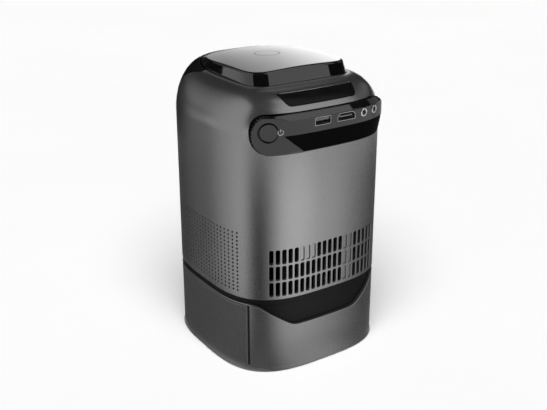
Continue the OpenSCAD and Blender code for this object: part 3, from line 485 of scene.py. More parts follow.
def front_edge(gap, top):
    """Edge of the front cover on the +X side, from the middle of its lower edge up to the top."""
    corner = FRONT_Z0 + gap + FRONT_R * (1 - np.cos(np.linspace(0, math.pi / 2, 9)))
    t = np.concatenate([corner, np.linspace(FRONT_Z0 + FRONT_R, SHOULDER_Z, 9)[1:],
                        np.linspace(SHOULDER_Z, top, 28)[1:]])
    s = s_of(math.pi - front_reach(t, gap))
    flat = np.linspace(LOOP / 2, s[0], 12)[:-1]
    return np.concatenate([level(flat, t[0]), np.column_stack([s, t])])


# Port panel outline, a stadium along the curve of the wall, and the dark window's outline, seen from behind
PANEL_HALF, PANEL_Z0, PANEL_Z1 = 58.2, 162.5, 188.6
PANEL_MID, PANEL_END_R = (PANEL_Z0 + PANEL_Z1) / 2, (PANEL_Z1 - PANEL_Z0) / 2
WINDOW_Z0, WINDOW_Z1, WINDOW_LOW, WINDOW_HIGH, WINDOW_R = 192.2, 198.6, 27.5, 30.8, 4.0
INSET_GAP = 0.1
SEAT_R = 0.12


def panel_sz(gap, arc=16):
    """Clockwise outline of the port panel in arc length and height."""
    r, end = PANEL_END_R - gap, PANEL_HALF - PANEL_END_R
    a = np.radians(np.linspace(90, -90, arc + 1))
    right = np.column_stack([end + r * np.cos(a), PANEL_MID + r * np.sin(a)])
    run = np.linspace(end, -end, 40)[1:-1]
    left = right * [-1, 1]
    return np.concatenate([right, level(run, PANEL_MID - r), left[::-1], level(-run, PANEL_MID + r)])


def window_xz(gap):
    """Clockwise outline of the dark window: round lower corners, straight leaning sides."""
    lean = math.atan2(WINDOW_Z1 - WINDOW_Z0, WINDOW_HIGH - WINDOW_LOW)
    a = np.linspace(-math.pi / 2, lean - math.pi / 2, 7)
    centre = WINDOW_LOW - WINDOW_R * math.tan(lean / 2)
    r = WINDOW_R - gap
    right = np.column_stack([centre + r * np.cos(a), WINDOW_Z0 + WINDOW_R + r * np.sin(a)])
    right = np.concatenate([right, [[WINDOW_HIGH - gap, WINDOW_Z1 - gap]]])[::-1]
    low = np.linspace(right[-1][0], -right[-1][0], 16)[1:-1]
    top = np.linspace(-right[0][0], right[0][0], 16)[1:-1]
    left = (right * [-1, 1])[::-1]
    return np.concatenate([right, level(low, WINDOW_Z0 + gap), left, level(top, WINDOW_Z1 - gap)])


# Upper housing: slots, side perforations and the cut-outs for panel, window and front
SLOT_COLUMNS, SLOT_ROWS = 20, 3
SLOT_PITCH, SLOT_ROW_PITCH = 4.6, 12.1
SLOT_W, SLOT_H, SLOT_R, SLOT_EDGE = 3.0, 10.6, 1.3, 0.25
SLOT_Z = 59.7
GROOVE_DEPTH = 0.8
HOLE_COLUMNS, HOLE_ROWS = 22, 16
HOLE_PITCH, HOLE_ROW_PITCH = 3.9, 2.87
HOLE_R, HOLE_EDGE = 0.75, 0.12
HOLE_Z = 62.3
BLIND_TOP, BLIND_COLUMNS = (5, 6, 7), (13, 14)
PANEL_SEAT, WINDOW_SEAT = 1.2, 1.5
SHELL_STEP, SHOULDER_REACH, SHOULDER_STEP = (2.4, 4.0), 150, (2.2, 2.0)
BAND_STEP, BAND_HALF = 1.5, 0.05
WALL_POINTS = 241


def slot_is_blind(column, row):
    return (row == SLOT_ROWS - 1 and column in BLIND_TOP) or column in BLIND_COLUMNS


def upper_shell():
    skin = Skin(shell_xyz)
    top, foot = SHELL_TOP - RIM_R, WAIST_TOP + EDGE_R
    right = front_edge(-EDGE_R, top)
    left = (right * [-1, 1])[::-1]
    rim = np.linspace(right[-1][0], left[0][0], num=260)[1:-1]
    floor = np.linspace(-LOOP / 2, LOOP / 2, WALL_POINTS)
    seam = np.linspace(foot, right[0][1], 18)[1:-1]
    outline, starts = joined([level(floor, foot), upright(LOOP / 2, seam), right, level(rim, top), left,
                              upright(-LOOP / 2, seam[::-1])])
    grown = 2 * SLOT_EDGE
    slot = box(SLOT_W + grown, SLOT_H + grown, SLOT_R + SLOT_EDGE)
    holes, cuts = [], []
    for column in range(SLOT_COLUMNS):
        for row in range(SLOT_ROWS):
            s = ((SLOT_COLUMNS - 1) / 2 - column) * SLOT_PITCH
            holes.append([s, SLOT_Z + SLOT_H / 2 + row * SLOT_ROW_PITCH] + slot)
            blind = slot_is_blind(column, row)
            cuts.append((SLOT_EDGE, GROOVE_DEPTH if blind else WALL, blind))
    for side in (-1, 1):
        for column in range(HOLE_COLUMNS):
            for row in range(HOLE_ROWS):
                s = side * LOOP / 4 + (column - (HOLE_COLUMNS - 1) / 2) * HOLE_PITCH
                holes.append([s, HOLE_Z + row * HOLE_ROW_PITCH] + circle(HOLE_R + HOLE_EDGE, sides=14))
                cuts.append((HOLE_EDGE, WALL, False))
    sz, xz = panel_sz(-INSET_GAP - SEAT_R), window_xz(-INSET_GAP - EDGE_R)
    holes += [on_wall(plan_x(sz[:, 0]), sz[:, 1]), on_wall(*xz.T)]
    cuts += [(SEAT_R, PANEL_SEAT, False), (EDGE_R, WINDOW_SEAT, False)]
    s = np.arange(-SHOULDER_REACH, SHOULDER_REACH, SHOULDER_STEP[0])
    shoulder = lattice(s, np.arange(SHOULDER_Z, top, SHOULDER_STEP[1]))
    s = np.arange(-SHOULDER_REACH, SHOULDER_REACH, BAND_STEP)
    band = [level(s, top - RIM_BAND + side * BAND_HALF) for side in (-1, 1)]
    rings = skin.sheet(outline, holes, SHELL_STEP, [shoulder, *band], lambda st: st[:, 1] > top - RIM_BAND)
    skin.hem(rings[0], outline, EDGE_R, WALL, span=(0, starts[1]))
    skin.hem(rings[0], outline, EDGE_R, WALL, span=(starts[2], starts[3]))
    skin.hem(rings[0], outline, RIM_R, RIM_DEPTH, span=(starts[3] - 1, starts[4] + 1), kind=1)
    skin.hem(rings[0], outline, EDGE_R, WALL, span=(starts[4], starts[5]))
    for ring, hole, (r, depth, blind) in zip(rings[1:], holes, cuts):
        last = skin.hem(ring, hole, r, depth, steps=2)
        if blind:
            skin.cap(last)
    skin.make("shell_skin", "housing", "shell_silver", [SILVER, RIM_SILVER], ["upper_shell"])


upper_shell()


# Dark gloss inset, set a little into the shoulder
WINDOW_SET, WINDOW_T = 0.3, 1.1


def shoulder_window():
    shell = Skin(shell_xyz)
    skin = Skin(lambda s, t: shell_xyz(s, t) - WINDOW_SET * shell.normal(np.column_stack([s, t])))
    xz = window_xz(EDGE_R)
    outline = on_wall(*xz.T)[::-1]
    rings = skin.sheet(outline, [], step=(1.5, 1.5))
    skin.hem(rings[0], outline, EDGE_R, WINDOW_T)
    skin.make("shoulder_dark_inset", "housing", "window_black", [DARK_INSET_GLOSS], ["shoulder_window"])


shoulder_window()


# Front cover with the opening for the lens
LENS_Z = 154.0
BEZEL_R, BEZEL_GAP = 24.0, 0.1
FRONT_POINTS = 120


def front_cover():
    skin = Skin(lambda s, t: shell_xyz(s + LOOP / 2, t))
    top = SHELL_TOP - RIM_R
    right = front_edge(FRONT_GAP + EDGE_R, top) - [LOOP / 2, 0]
    left = (right * [-1, 1])[::-1][:-1]
    rim = np.linspace(left[0][0], right[-1][0], FRONT_POINTS)[1:-1]
    outline = np.concatenate([right[::-1], left[::-1], level(rim, top)])
    edge = len(right) + len(left)
    xz = circle(BEZEL_R + BEZEL_GAP + EDGE_R, FRONT_POINTS) + [0, LENS_Z]
    hole = (on_wall(*xz.T, front=True) - [LOOP / 2, 0])[::-1]
    rings = skin.sheet(outline, [hole], step=(2.0, 2.0))
    skin.hem(rings[0], outline, EDGE_R, WALL, span=(0, edge))
    skin.hem(rings[0], outline, RIM_R, RIM_DEPTH, span=(edge - 1, len(outline) + 1), kind=1)
    skin.hem(rings[1], hole, EDGE_R, WALL)
    skin.make("front_cover", "housing", "front_black", [GLOSS, FLAT], ["front_panel"])


front_cover()


# Cap: its wall leans in from the rim to the top edge, and a dome closes it around the round key
DOME_R, DOME_TOP, DOME_Y = 450.0, 212.2, 5.4
CAP = dict(ax=40.9, back=42.4, front=42.0, yc=-8.9, p_back=6.0, p_front=2.8)
CAP_GAP, CAP_TAPER, CAP_EDGE, CAP_RIM_EDGE = 0.3, 0.8, 1.6, 0.3
CAP_SIDES, CAP_RINGS = 360, (0.15, 0.3, 0.45, 0.6, 0.75, 0.88, 1)
KEY_SIDES, KEY_RINGS = 96, (0.9, 0.75, 0.5, 0.25, 0)
KEY_Y, KEY_R, KEY_GAP, KEY_EDGE, KEY_DEPTH = -11.8, 9.0, 0.15, 0.3, 2.6


def dome_z(xy):
    return DOME_TOP - DOME_R + np.sqrt(DOME_R**2 - xy[:, 0] ** 2 - (xy[:, 1] - DOME_Y) ** 2)


def on_dome(xy, drop=0.0):
    return np.column_stack([xy, dome_z(xy) - drop])


def ring_phi(outline, count):
    """Angles that follow each other at even distances on an outline."""
    phi = np.linspace(0, 2 * math.pi, 4001)
    run = run_of(outline(phi))
    return np.interp(np.arange(count) * run[-1] / count, run, phi)


def key_ring(phi, r):
    return np.column_stack([r * np.sin(phi), KEY_Y + r * np.cos(phi)])


def cap():
    phi = ring_phi(lambda a: oval_xy(a, **CAP), CAP_SIDES)
    seat = np.column_stack([oval_xy(phi, **RIM, inset=CAP_GAP + CAP_TAPER), np.full(CAP_SIDES, SEAT_Z)])
    rim = np.column_stack([oval_xy(phi, **RIM, inset=CAP_GAP), rim_height(phi)])
    edge = oval_xy(phi, **CAP)
    hole = key_ring(phi, KEY_R + KEY_GAP)
    rows = [seat, rim, on_dome(edge)]
    rows += [on_dome(edge + (hole - edge) * w) for w in CAP_RINGS]
    rows.append(on_dome(hole, KEY_DEPTH))
    piece = Piece()
    flat = [0] * (len(CAP_RINGS) - 1)
    piece.loft(eased(rows, [CAP_RIM_EDGE, CAP_EDGE, *flat, KEY_EDGE], steps=6))
    piece.make("cap_skin", "housing", "cap_black", [GLOSS], ["top_cover"])
    key = Piece()
    phi = np.arange(KEY_SIDES) * 2 * math.pi / KEY_SIDES
    rim = key_ring(phi, KEY_R)
    rows = [on_dome(rim, KEY_DEPTH), on_dome(rim)]
    rows += [on_dome(key_ring(phi, KEY_R * w)) for w in KEY_RINGS]
    key.loft(eased(rows, [KEY_EDGE] + [0] * (len(KEY_RINGS) - 1)))
    key.make("round_key", "top_button", "button_black", [GLOSS], ["top_button"])


cap()


# Port panel: flatter than the wall, upright above a crease, leaning in below it and near its top
PANEL_AX, PANEL_AY, PANEL_P = 65.0, 65.2, 3.4
PANEL_LOW = 64.1
CREASE_Z = 175.1
LEAN_Z, LEAN = 185.0, 3.4
MITRE_TOP, MITRE_LOW, MITRE_LOW_Z, MITRE_W = 36.1, 20.9, 162.9, 0.5
LEAN_NARROW, LEAN_FROM, LEAN_TO = 2.6, 30.0, 42.0
PANEL_EDGE, PANEL_DEEP = 0.3, 13.0
POWER_S, POWER_Z, POWER_R, POWER_RING_R, POWER_RING_DEPTH = 46.5, 178.0, 5.9, 6.7, 0.8
PORT_Z = 178.7
USB_X, USB_W, USB_H = 6.4, 13.1, 5.7
HDMI_X, HDMI_W, HDMI_H, HDMI_CUT = -13.0, 15.0, 5.6, 2.0
JACK_R, JACK_BORE_R, JACK_Z, JACK_PROUD = 3.0, 1.8, 181.6, 0.5
AUDIO_S, DC_S = -28.3, -39.6
SOCKET_GAP, SOCKET_EDGE, SOCKET_SEAT = 0.1, 0.2, 1.5
USB_CORNER, HDMI_CORNER, JACK_SIDES = 0.6, 0.7, 48
PANEL_STEP, CREASE_LINES, LEAN_LINES, MITRE_LINES = (1.6, 1.3), (-0.12, 0.06), (-0.1, 0.1), (-0.6, 0.6)
POWER_GAP, POWER_DEEP, POWER_PROUD, POWER_EDGE = 0.1, 4.0, 0.1, 0.35


def superellipse_y(x, ax, ay, p):
    return ay * np.maximum(0, 1 - (np.abs(x) / ax) ** p) ** (1 / p)


def mitre_s(z):
    """Arc length of the mitre between the end of the panel and its lower bevel."""
    return MITRE_LOW + (MITRE_TOP - MITRE_LOW) * (z - MITRE_LOW_Z) / (CREASE_Z - MITRE_LOW_Z)


def lean_z(s):
    """Height where the panel's top starts to lean in."""
    return LEAN_Z + LEAN_NARROW * np.clip((s - LEAN_FROM) / (LEAN_TO - LEAN_FROM), 0, 1)


def panel_xyz(s, z):
    x = plan_x(s)
    scale = 1 - LEAN / PANEL_AY * np.clip((z - lean_z(s)) / (PANEL_Z1 - LEAN_Z), 0, 1)
    y = scale * superellipse_y(x / scale, PANEL_AX, PANEL_AY, PANEL_P)
    sunk = np.clip((CREASE_Z - z) / (CREASE_Z - PANEL_Z0), 0, 1)
    sunk = sunk * np.clip((mitre_s(z) - s) / MITRE_W + 0.5, 0, 1)
    low = superellipse_y(x, PANEL_LOW, PANEL_LOW, PLAN_POWER)
    return np.column_stack([x, y + (low - y) * sunk, z])


def panel_spot(s, z):
    """Point of the panel's upright face and the direction out of it."""
    x = plan_x(np.array([s]))[0]
    y, h = superellipse_y(x, PANEL_AX, PANEL_AY, PANEL_P), 0.1
    slope = superellipse_y(np.array([x - h, x + h]), PANEL_AX, PANEL_AY, PANEL_P)
    return np.array([x, y, z]), unit(np.array([slope[0] - slope[1], 2 * h, 0]))


def spot_loop(s, z, xz):
    """A loop drawn flat at a spot of the panel, in surface coordinates."""
    at, out = panel_spot(s, z)
    return np.column_stack([s_at_x(at[0] + xz[:, 0] * out[1]), z + xz[:, 1]])


def usb_xz(grown, r):
    return box(USB_W + 2 * grown, USB_H + 2 * grown, r) + [USB_X, PORT_Z + USB_H / 2]


def hdmi_xz(grown, r):
    w, h, c = HDMI_W / 2 + grown, HDMI_H + grown, HDMI_CUT + grown * 0.4
    corners = [(-w, h - c), (-w + c, h), (w - c, h), (w, h - c), (w, -grown), (-w, -grown)]
    return rounded(corners, r) + [HDMI_X, PORT_Z]


def port_panel():
    skin = Skin(panel_xyz, into=(0, -1, 0))
    outline = panel_sz(PANEL_EDGE)[::-1]
    grown = SOCKET_GAP + SOCKET_EDGE
    holes = []
    for xz in (usb_xz(grown, USB_CORNER), hdmi_xz(grown, HDMI_CORNER)):
        holes.append(np.column_stack([s_at_x(xz[:, 0]), xz[:, 1]]))
    for s in (AUDIO_S, DC_S):
        holes.append(spot_loop(s, JACK_Z, circle(JACK_R + SOCKET_EDGE, JACK_SIDES)))
    power = spot_loop(POWER_S, POWER_Z, circle(POWER_RING_R + SOCKET_EDGE, sides=72))
    s = np.arange(-PANEL_HALF, PANEL_HALF, PANEL_STEP[0])
    lines = [level(s, CREASE_Z + up) for up in CREASE_LINES]
    lines += [np.column_stack([s, lean_z(s) + up]) for up in LEAN_LINES]
    z = np.linspace(PANEL_Z0, CREASE_Z, 30)
    lines += [np.column_stack([mitre_s(z) + side * MITRE_W, z]) for side in MITRE_LINES]

    def on_bevel(st):
        return (st[:, 1] < CREASE_Z) & (st[:, 0] < mitre_s(st[:, 1]))

    rings = skin.sheet(outline, [*holes, power], PANEL_STEP, lines, on_bevel)
    skin.hem(rings[0], outline, PANEL_EDGE, PANEL_DEEP)
    for ring, hole in zip(rings[1:], holes):
        skin.hem(ring, hole, SOCKET_EDGE, SOCKET_SEAT, steps=2)
    at, out = panel_spot(POWER_S, POWER_Z)
    skin.into = -out
    skin.hem(rings[-1], power, SOCKET_EDGE, POWER_RING_DEPTH)
    mouth = POWER_R + POWER_GAP
    skin.lathe(at, out, [(POWER_RING_R + POWER_GAP, -POWER_RING_DEPTH), (mouth, -POWER_RING_DEPTH),
                         (mouth, -POWER_DEEP)])
    skin.make("socket_panel", "housing", "panel_black", [GLOSS, FLAT], ["port_panel"])
    disc = Piece()
    profile = [(POWER_R, -POWER_DEEP), (POWER_R, POWER_PROUD), (POWER_R * 0.6, POWER_PROUD), (0, POWER_PROUD)]
    disc.lathe(at, out, eased(profile, [POWER_EDGE, 0]))
    disc.make("power_disc", "power_button", "button_black", [GLOSS], ["power_button"])


port_panel()


# Power sign beside the button: an open ring and a bar, printed on the panel
SIGN_S, SIGN_Z, SIGN_R, SIGN_W, SIGN_GAP_DEG = 38.4, 178.0, 1.8, 0.48, 40
SIGN_H, SIGN_BAR = 0.03, (2.2, 0.2)


def power_sign():
    piece = Piece()
    panel = Skin(panel_xyz)

    def strip(middle, half_width):
        """A rounded ribbon along a line of the panel."""
        along = unit(np.gradient(middle, axis=0))
        side = np.column_stack([along[:, 1], -along[:, 0]])
        reach = np.sqrt(np.clip(1 - np.linspace(-1, 1, len(middle)) ** 8, 0.02, 1))[:, None]
        rows = []
        for w in (-1, -0.6, 0, 0.6, 1):
            st = spot_loop(SIGN_S, SIGN_Z, middle + side * reach * half_width * w)
            lift = SIGN_H * (1 - w**4)
            rows.append(panel.xyz(*st.T) + panel.normal(st) * lift)
        piece.loft(rows[::-1], closed=False)

    a = np.radians(np.linspace(90 - SIGN_GAP_DEG, -270 + SIGN_GAP_DEG, 41))
    strip(SIGN_R * np.column_stack([np.cos(a), np.sin(a)]), SIGN_W / 2)
    strip(upright(0, np.linspace(*SIGN_BAR, 12)), SIGN_W / 2)
    piece.make("power_sign", "housing", "panel_black", [INK])


power_sign()


# Sockets: folded steel shells with a tongue and contacts, and two turned jacks
SOCKET_Y, SOCKET_DEEP, SOCKET_T = 64.9, 51.0, 0.45
SOCKET_BACK, SOCKET_LIP, SOCKET_FOLD, SOCKET_CORNERS = 5.0, 2.5, 0.15, (0.5, 0.3)
TONGUE_Y, TONGUE_R = 63.9, 0.3
CONTACT_H, CONTACT_R, CONTACT_SET = 0.24, 0.06, 0.6
USB_PINS, USB_PIN_Z, USB_PIN_W, USB_TONGUE = (-3.5, -1, 1, 3.5), 3.0, 1.0, (3.9, 11.2, 1.8)
HDMI_PINS, HDMI_PIN_Z, HDMI_PIN_W, HDMI_TONGUE = 10, 3.4, 0.45, (2.9, 10.8, 1.0)
JACK_BACK, JACK_LIP, JACK_DEEP, JACK_EDGES = 3.0, 0.8, 11.0, (0.4, 0.35)
DC_PIN_R, PIN_TIP, PIN_EDGE = 0.65, 2.0, 0.4


def along_y(loop, y):
    return np.column_stack([loop[:, 0], np.full(len(loop), y), loop[:, 1]])


def slab(piece, x, z, w, h, y0, y1, r, kind, arc=4):
    """A bar along Y with rounded edges and a rounded front end."""
    loop = box(w, h, r, arc)[::-1] + [x, z]
    tip = box(w - 2 * r, h - 2 * r, r / 2, arc)[::-1] + [x, z]
    middle = np.broadcast_to([x, z], loop.shape)
    rows = [along_y(loop, y0), along_y(loop, y1), along_y(tip, y1), along_y(middle, y1)]
    piece.loft(eased(rows, [r, 0], arc), kind)


def socket(name, node, loop_of, middle_x, tongue, contacts):
    piece = Piece()
    outer = loop_of(0, SOCKET_CORNERS[0])[::-1]
    inner = loop_of(-SOCKET_T, SOCKET_CORNERS[1])[::-1]
    middle = np.broadcast_to(inner.mean(0), inner.shape)
    lip = along_y(inner, SOCKET_Y - SOCKET_LIP)
    shell = [along_y(outer, SOCKET_Y - SOCKET_BACK), along_y(outer, SOCKET_Y), along_y(inner, SOCKET_Y), lip]
    piece.loft(eased(shell, [SOCKET_FOLD] * 2), 0)
    piece.loft([lip, along_y(inner, SOCKET_DEEP), along_y(middle, SOCKET_DEEP)], 1)
    z, w, h = tongue
    slab(piece, middle_x, PORT_Z + z, w, h, SOCKET_DEEP, TONGUE_Y, TONGUE_R, 1)
    for x, z, w in contacts:
        tip = TONGUE_Y - CONTACT_SET
        slab(piece, middle_x + x, PORT_Z + z, w, CONTACT_H, SOCKET_DEEP, tip, CONTACT_R, 2, arc=1)
    piece.make(name, "housing", "port_steel", [STEEL, DARK, CHROME], [node])


usb_contacts = [(x, USB_PIN_Z, USB_PIN_W) for x in USB_PINS]
socket("usb_socket", "usb_port", usb_xz, USB_X, USB_TONGUE, usb_contacts)
hdmi_contacts = [(i - (HDMI_PINS - 1) / 2, HDMI_PIN_Z, HDMI_PIN_W) for i in range(HDMI_PINS)]
socket("hdmi_socket", "hdmi_port", hdmi_xz, HDMI_X, HDMI_TONGUE, hdmi_contacts)


def jack(name, node, s, pin_r):
    piece = Piece()
    at, out = panel_spot(s, JACK_Z)
    lip = (JACK_BORE_R, -JACK_LIP)
    ring = [(JACK_R, -JACK_BACK), (JACK_R, JACK_PROUD), (JACK_BORE_R, JACK_PROUD), lip]
    piece.lathe(at, out, eased(ring, JACK_EDGES), 0, JACK_SIDES)
    piece.lathe(at, out, [lip, (JACK_BORE_R, -JACK_DEEP), (0, -JACK_DEEP)], 1, JACK_SIDES)
    if pin_r:
        pin = [(pin_r, -JACK_DEEP), (pin_r, -PIN_TIP), (0, -PIN_TIP)]
        piece.lathe(at, out, eased(pin, [PIN_EDGE]), sides=24)
    piece.make(name, "housing", "jack_chrome", [CHROME, DARK], [node])


jack("audio_socket", "audio_jack", AUDIO_S, 0)
jack("power_inlet", "dc_inlet", DC_S, DC_PIN_R)


# Waist frame: the black band between housing and base, and the skirt behind the chevron
BAND_A, SKIRT_A, SKIRT_Z, DECK_Z, DECK_A = 62.6, 61.5, 33.0, 55.5, 58.6
WAIST_EDGES = (0.3, 0.4, 0.3, 0.2, 0.2)


def ring_at(a, z, count=360):
    phi = ring_phi(plan_xy, count)
    return np.column_stack([plan_xy(phi, a), np.full(count, z)])


def waist():
    rows = [(SKIRT_A, SKIRT_Z), (SKIRT_A, BASE_TOP), (BAND_A, BASE_TOP), (BAND_A, WAIST_TOP),
            (DECK_A, WAIST_TOP), (DECK_A, DECK_Z), (0.0, DECK_Z)]
    piece = Piece()
    piece.loft(eased([ring_at(*r) for r in rows], WAIST_EDGES))
    piece.make("waist_band", "housing", "trim_black", [SATIN], ["mid_frame"])


waist()


# Base: a flared skirt at the foot, the chevron cut out behind, and the two speaker openings
LIP_A, WALL_FOOT, FLOOR_Z = 64.7, 3.8, 2.0
SKIRT_IN, SKIRT_FOOT = 63.0, 0.6
PLATE_A = 61.2
# Outline of the skirt by half width and height
FLARE = [(PLATE_A, FLOOR_Z), (SKIRT_IN, FLOOR_Z), (SKIRT_IN, SKIRT_FOOT), (LIP_A, SKIRT_FOOT), (64.4, 1.6),
         (64.12, 2.7), (HALF, WALL_FOOT), (HALF, WALL_FOOT + 0.01)]
FLARE_EDGES = [0, 0, 0.3, 0, 0, 0]
CHEVRON_TOP, CHEVRON_LOW, CHEVRON_Z, CHEVRON_R = 55.4, 26.8, 35.2, (5.5, 4.5)
CHEVRON_FLANK, CHEVRON_STEP = 8.0, 1.5
GRILLE_HALF, GRILLE_GROOVE, GRILLE_Z0, GRILLE_Z1, GRILLE_T = 48.2, 1.3, 4.3, 51.8, 1.2
GRILLE_MID, GRILLE_HIGH = (GRILLE_Z0 + GRILLE_Z1) / 2, GRILLE_Z1 - GRILLE_Z0
GRILLE_SINK, GRILLE_EDGE, GRILLE_SLACK, GRILLE_CORNER, GRILLE_STEP = 0.1, 0.15, 0.05, 1.0, 2.0
BASE_EDGE, OPENING_EDGE, OPENING_CORNER = 0.5, 0.25, 1.2
PERF_R, PERF_PITCH, PERF_EDGE, PERF_MARGIN, PERF_DEEP = 0.42, 1.6, 0.08, 1.0, 0.5
PERF_ROW = PERF_PITCH * 0.866
CLOTH_PAST, CLOTH_PAST_Z, CLOTH_POINTS = 1.5, 0.3, 80


def side_s(y):
    """Distance along the wall from the middle of the +X side to the point at y."""
    s = np.linspace(LOOP / 8, LOOP / 4, 2000)
    return LOOP / 4 - np.interp(-y, -plan_xy(phi_of(s))[:, 1], s)


def base():
    skin = Skin(prism_xyz(HALF))
    top, low = BASE_TOP - BASE_EDGE, CHEVRON_Z - BASE_EDGE
    floor = np.linspace(-LOOP / 2, LOOP / 2, WALL_POINTS)
    flank_end = CHEVRON_TOP + CHEVRON_FLANK
    flank = np.linspace(LOOP / 2, flank_end, 60)
    corners = [(flank_end, top), (CHEVRON_TOP, top), (CHEVRON_LOW, low), (0, low)]
    half = divided(eased(corners, CHEVRON_R, steps=8), CHEVRON_STEP)[1:]
    left = (half * [-1, 1])[::-1][1:]
    seam = np.linspace(WALL_FOOT, top, 12)[1:-1]
    edge = np.concatenate([level(flank, top), half, left, level(-flank[::-1], top)])
    outline, starts = joined([level(floor, WALL_FOOT), upright(LOOP / 2, seam), edge,
                              upright(-LOOP / 2, seam[::-1])])
    grown = 2 * OPENING_EDGE
    opening = box(2 * side_s(GRILLE_HALF) + grown, GRILLE_HIGH + grown, OPENING_CORNER)
    holes = [opening + [side * LOOP / 4, GRILLE_MID] for side in (-1, 1)]
    rings = skin.sheet(outline, holes, step=(2.2, 2.6))
    skin.hem(rings[0], outline, BASE_EDGE, WALL, span=(starts[2], starts[3]), steps=4)
    for ring, hole in zip(rings[1:], holes):
        skin.hem(ring, hole, OPENING_EDGE, GRILLE_T, steps=2)
    skin.loft(eased([ring_at(*r, count=480) for r in FLARE], FLARE_EDGES))
    skin.make("base_skin", "housing", "shell_silver", [SILVER], ["base_shell"])


base()


def speaker_grille(side, name, node):
    skin = Skin(prism_xyz(HALF - GRILLE_SINK))
    reach = side_s(GRILLE_HALF - GRILLE_GROOVE)
    centre = np.array([side * LOOP / 4, GRILLE_MID])
    trim = 2 * GRILLE_EDGE
    loop = box(2 * reach - trim, GRILLE_HIGH - trim - GRILLE_SLACK, GRILLE_CORNER)[::-1]
    outline = centre + divided([*loop, loop[0]], GRILLE_STEP)[:-1]
    n_rows = int((GRILLE_HIGH - 2 * PERF_MARGIN) / PERF_ROW)
    n_cols = int((2 * reach - 2 * PERF_MARGIN) / PERF_PITCH)
    holes = []
    for row in range(n_rows):
        z = (row - (n_rows - 1) / 2) * PERF_ROW
        for col in range(n_cols - row % 2):
            s = (col - (n_cols - 1 - row % 2) / 2) * PERF_PITCH
            holes.append(centre + [s, z] + circle(PERF_R + PERF_EDGE, sides=8))
    rings = skin.sheet(outline, holes, step=(6, 6))
    skin.hem(rings[0], outline, GRILLE_EDGE, GRILLE_T)
    for ring, hole in zip(rings[1:], holes):
        skin.hem(ring, hole, PERF_EDGE, PERF_DEEP, steps=1)
    cloth = prism_xyz(HALF - GRILLE_T)
    s = np.linspace(-reach - CLOTH_PAST, reach + CLOTH_PAST, CLOTH_POINTS) + side * LOOP / 4
    heights = (GRILLE_Z0 - CLOTH_PAST_Z, GRILLE_MID, GRILLE_Z1 + CLOTH_PAST_Z)
    skin.loft([cloth(s, np.full(CLOTH_POINTS, z)) for z in heights], 1, closed=False)
    skin.make(name, "housing", "grille_mesh", [MESH, CLOTH], [node])


speaker_grille(1, "grille_left", "speaker_grille_left")
speaker_grille(-1, "grille_right", "speaker_grille_right")


# Lens: bezel, the barrel's mouth and its front glass
FORWARD = (0, -1, 0)
LENS_AT = np.array([0, 0, LENS_Z])
LENS_SIDES, GLASS_R = 120, 15.45
# Outlines by radius and distance forward of the part's middle, and how far their corners are rounded
BEZEL = [(BEZEL_R, 61), (BEZEL_R, 65.2), (21.8, 65.2), (18.6, 62.4), (18.6, 61)]
BARREL = [(18, 26), (18, 60), (16.6, 60), (16.4, 59.2), (16, 59.2), (15.8, 58.4), (15.5, 58.4), (15.5, 38),
          (14, 38), (14, 36), (15.5, 36), (15.5, 26), (18, 26)]
BEZEL_EDGES, BARREL_EDGES = [0.6, 0.5, 0.4], [0.5, 0.3] + [0.15] * 4 + [0.1] * 5
# Place and radius of the rear and the front face of each glass
GLASSES = dict(front=((48.0, 60.0), (57.2, 34.0)), rear=((28.0, 30.0), (35.4, 60.0)))


def sphere_arc(r, height, edge, count=14):
    """Profile of a lens face from its edge to its middle, bulging forwards, or backwards for a negative r."""
    x = np.linspace(edge, 0, count)
    return [(v, height - math.copysign(abs(r) - math.sqrt(r * r - v * v), r)) for v in x]


def lens():
    bezel = Piece()
    bezel.lathe(LENS_AT, FORWARD, eased(BEZEL, BEZEL_EDGES), sides=LENS_SIDES)
    bezel.make("lens_ring", "housing", "trim_black", [SATIN], ["lens_bezel"])
    barrel = Piece()
    barrel.lathe(LENS_AT, FORWARD, eased(BARREL, BARREL_EDGES), sides=LENS_SIDES)
    barrel.make("lens_tube", "lens", "barrel_black", [SATIN], ["lens_barrel"])
    for end, (back, front) in GLASSES.items():
        glass = Piece()
        rear = sphere_arc(-back[1], back[0], GLASS_R)[::-1]
        glass.lathe(LENS_AT, FORWARD, rear + sphere_arc(front[1], front[0], GLASS_R), sides=96)
        glass.make(end + "_glass", "lens", "lens_glass", [GLASS], [end + "_lens"])


lens()


FOOT_AT, FOOT_R, FOOT_H = 43.8, 6.5, 2.0
FOOT_HOLLOW, FOOT_EDGES = [(5.2, FOOT_H), (4.9, 1.7), (0, 1.7)], (0.5, 0.2, 0.2)


def feet():
    piece = Piece()
    profile = eased([(FOOT_R, 0), (FOOT_R, FOOT_H), *FOOT_HOLLOW], FOOT_EDGES)
    for x in (-FOOT_AT, FOOT_AT):
        for y in (-FOOT_AT, FOOT_AT):
            piece.lathe(np.array([x, y, FLOOR_Z]), (0, 0, -1), profile, sides=48)
    piece.make("foot_pads", "housing", "foot_rubber", [RUBBER], ["rubber_feet"])


feet()

for name, finish in dict(
        touch_board=BOARD, lens_mount=SATIN, focus_ring=ACETAL, focus_pinion=BRASS, focus_motor=STEEL,
        light_engine=SATIN, imaging_board=BOARD, led_module=COPPER, heat_sink=ALUMINIUM, fan_frame=SATIN,
        fan_impeller=SATIN, chassis=ALUMINIUM, main_board=BOARD, io_board=BOARD, power_switch=DARK,
        speaker_left=SATIN, speaker_right=SATIN, battery_pack=WRAP, bottom_plate=SATIN, tripod_insert=BRASS,
        bottom_screws=STEEL, frame_screws=STEEL).items():
    nodes[name].data.materials.clear()
    nodes[name].data.materials.append(finish)

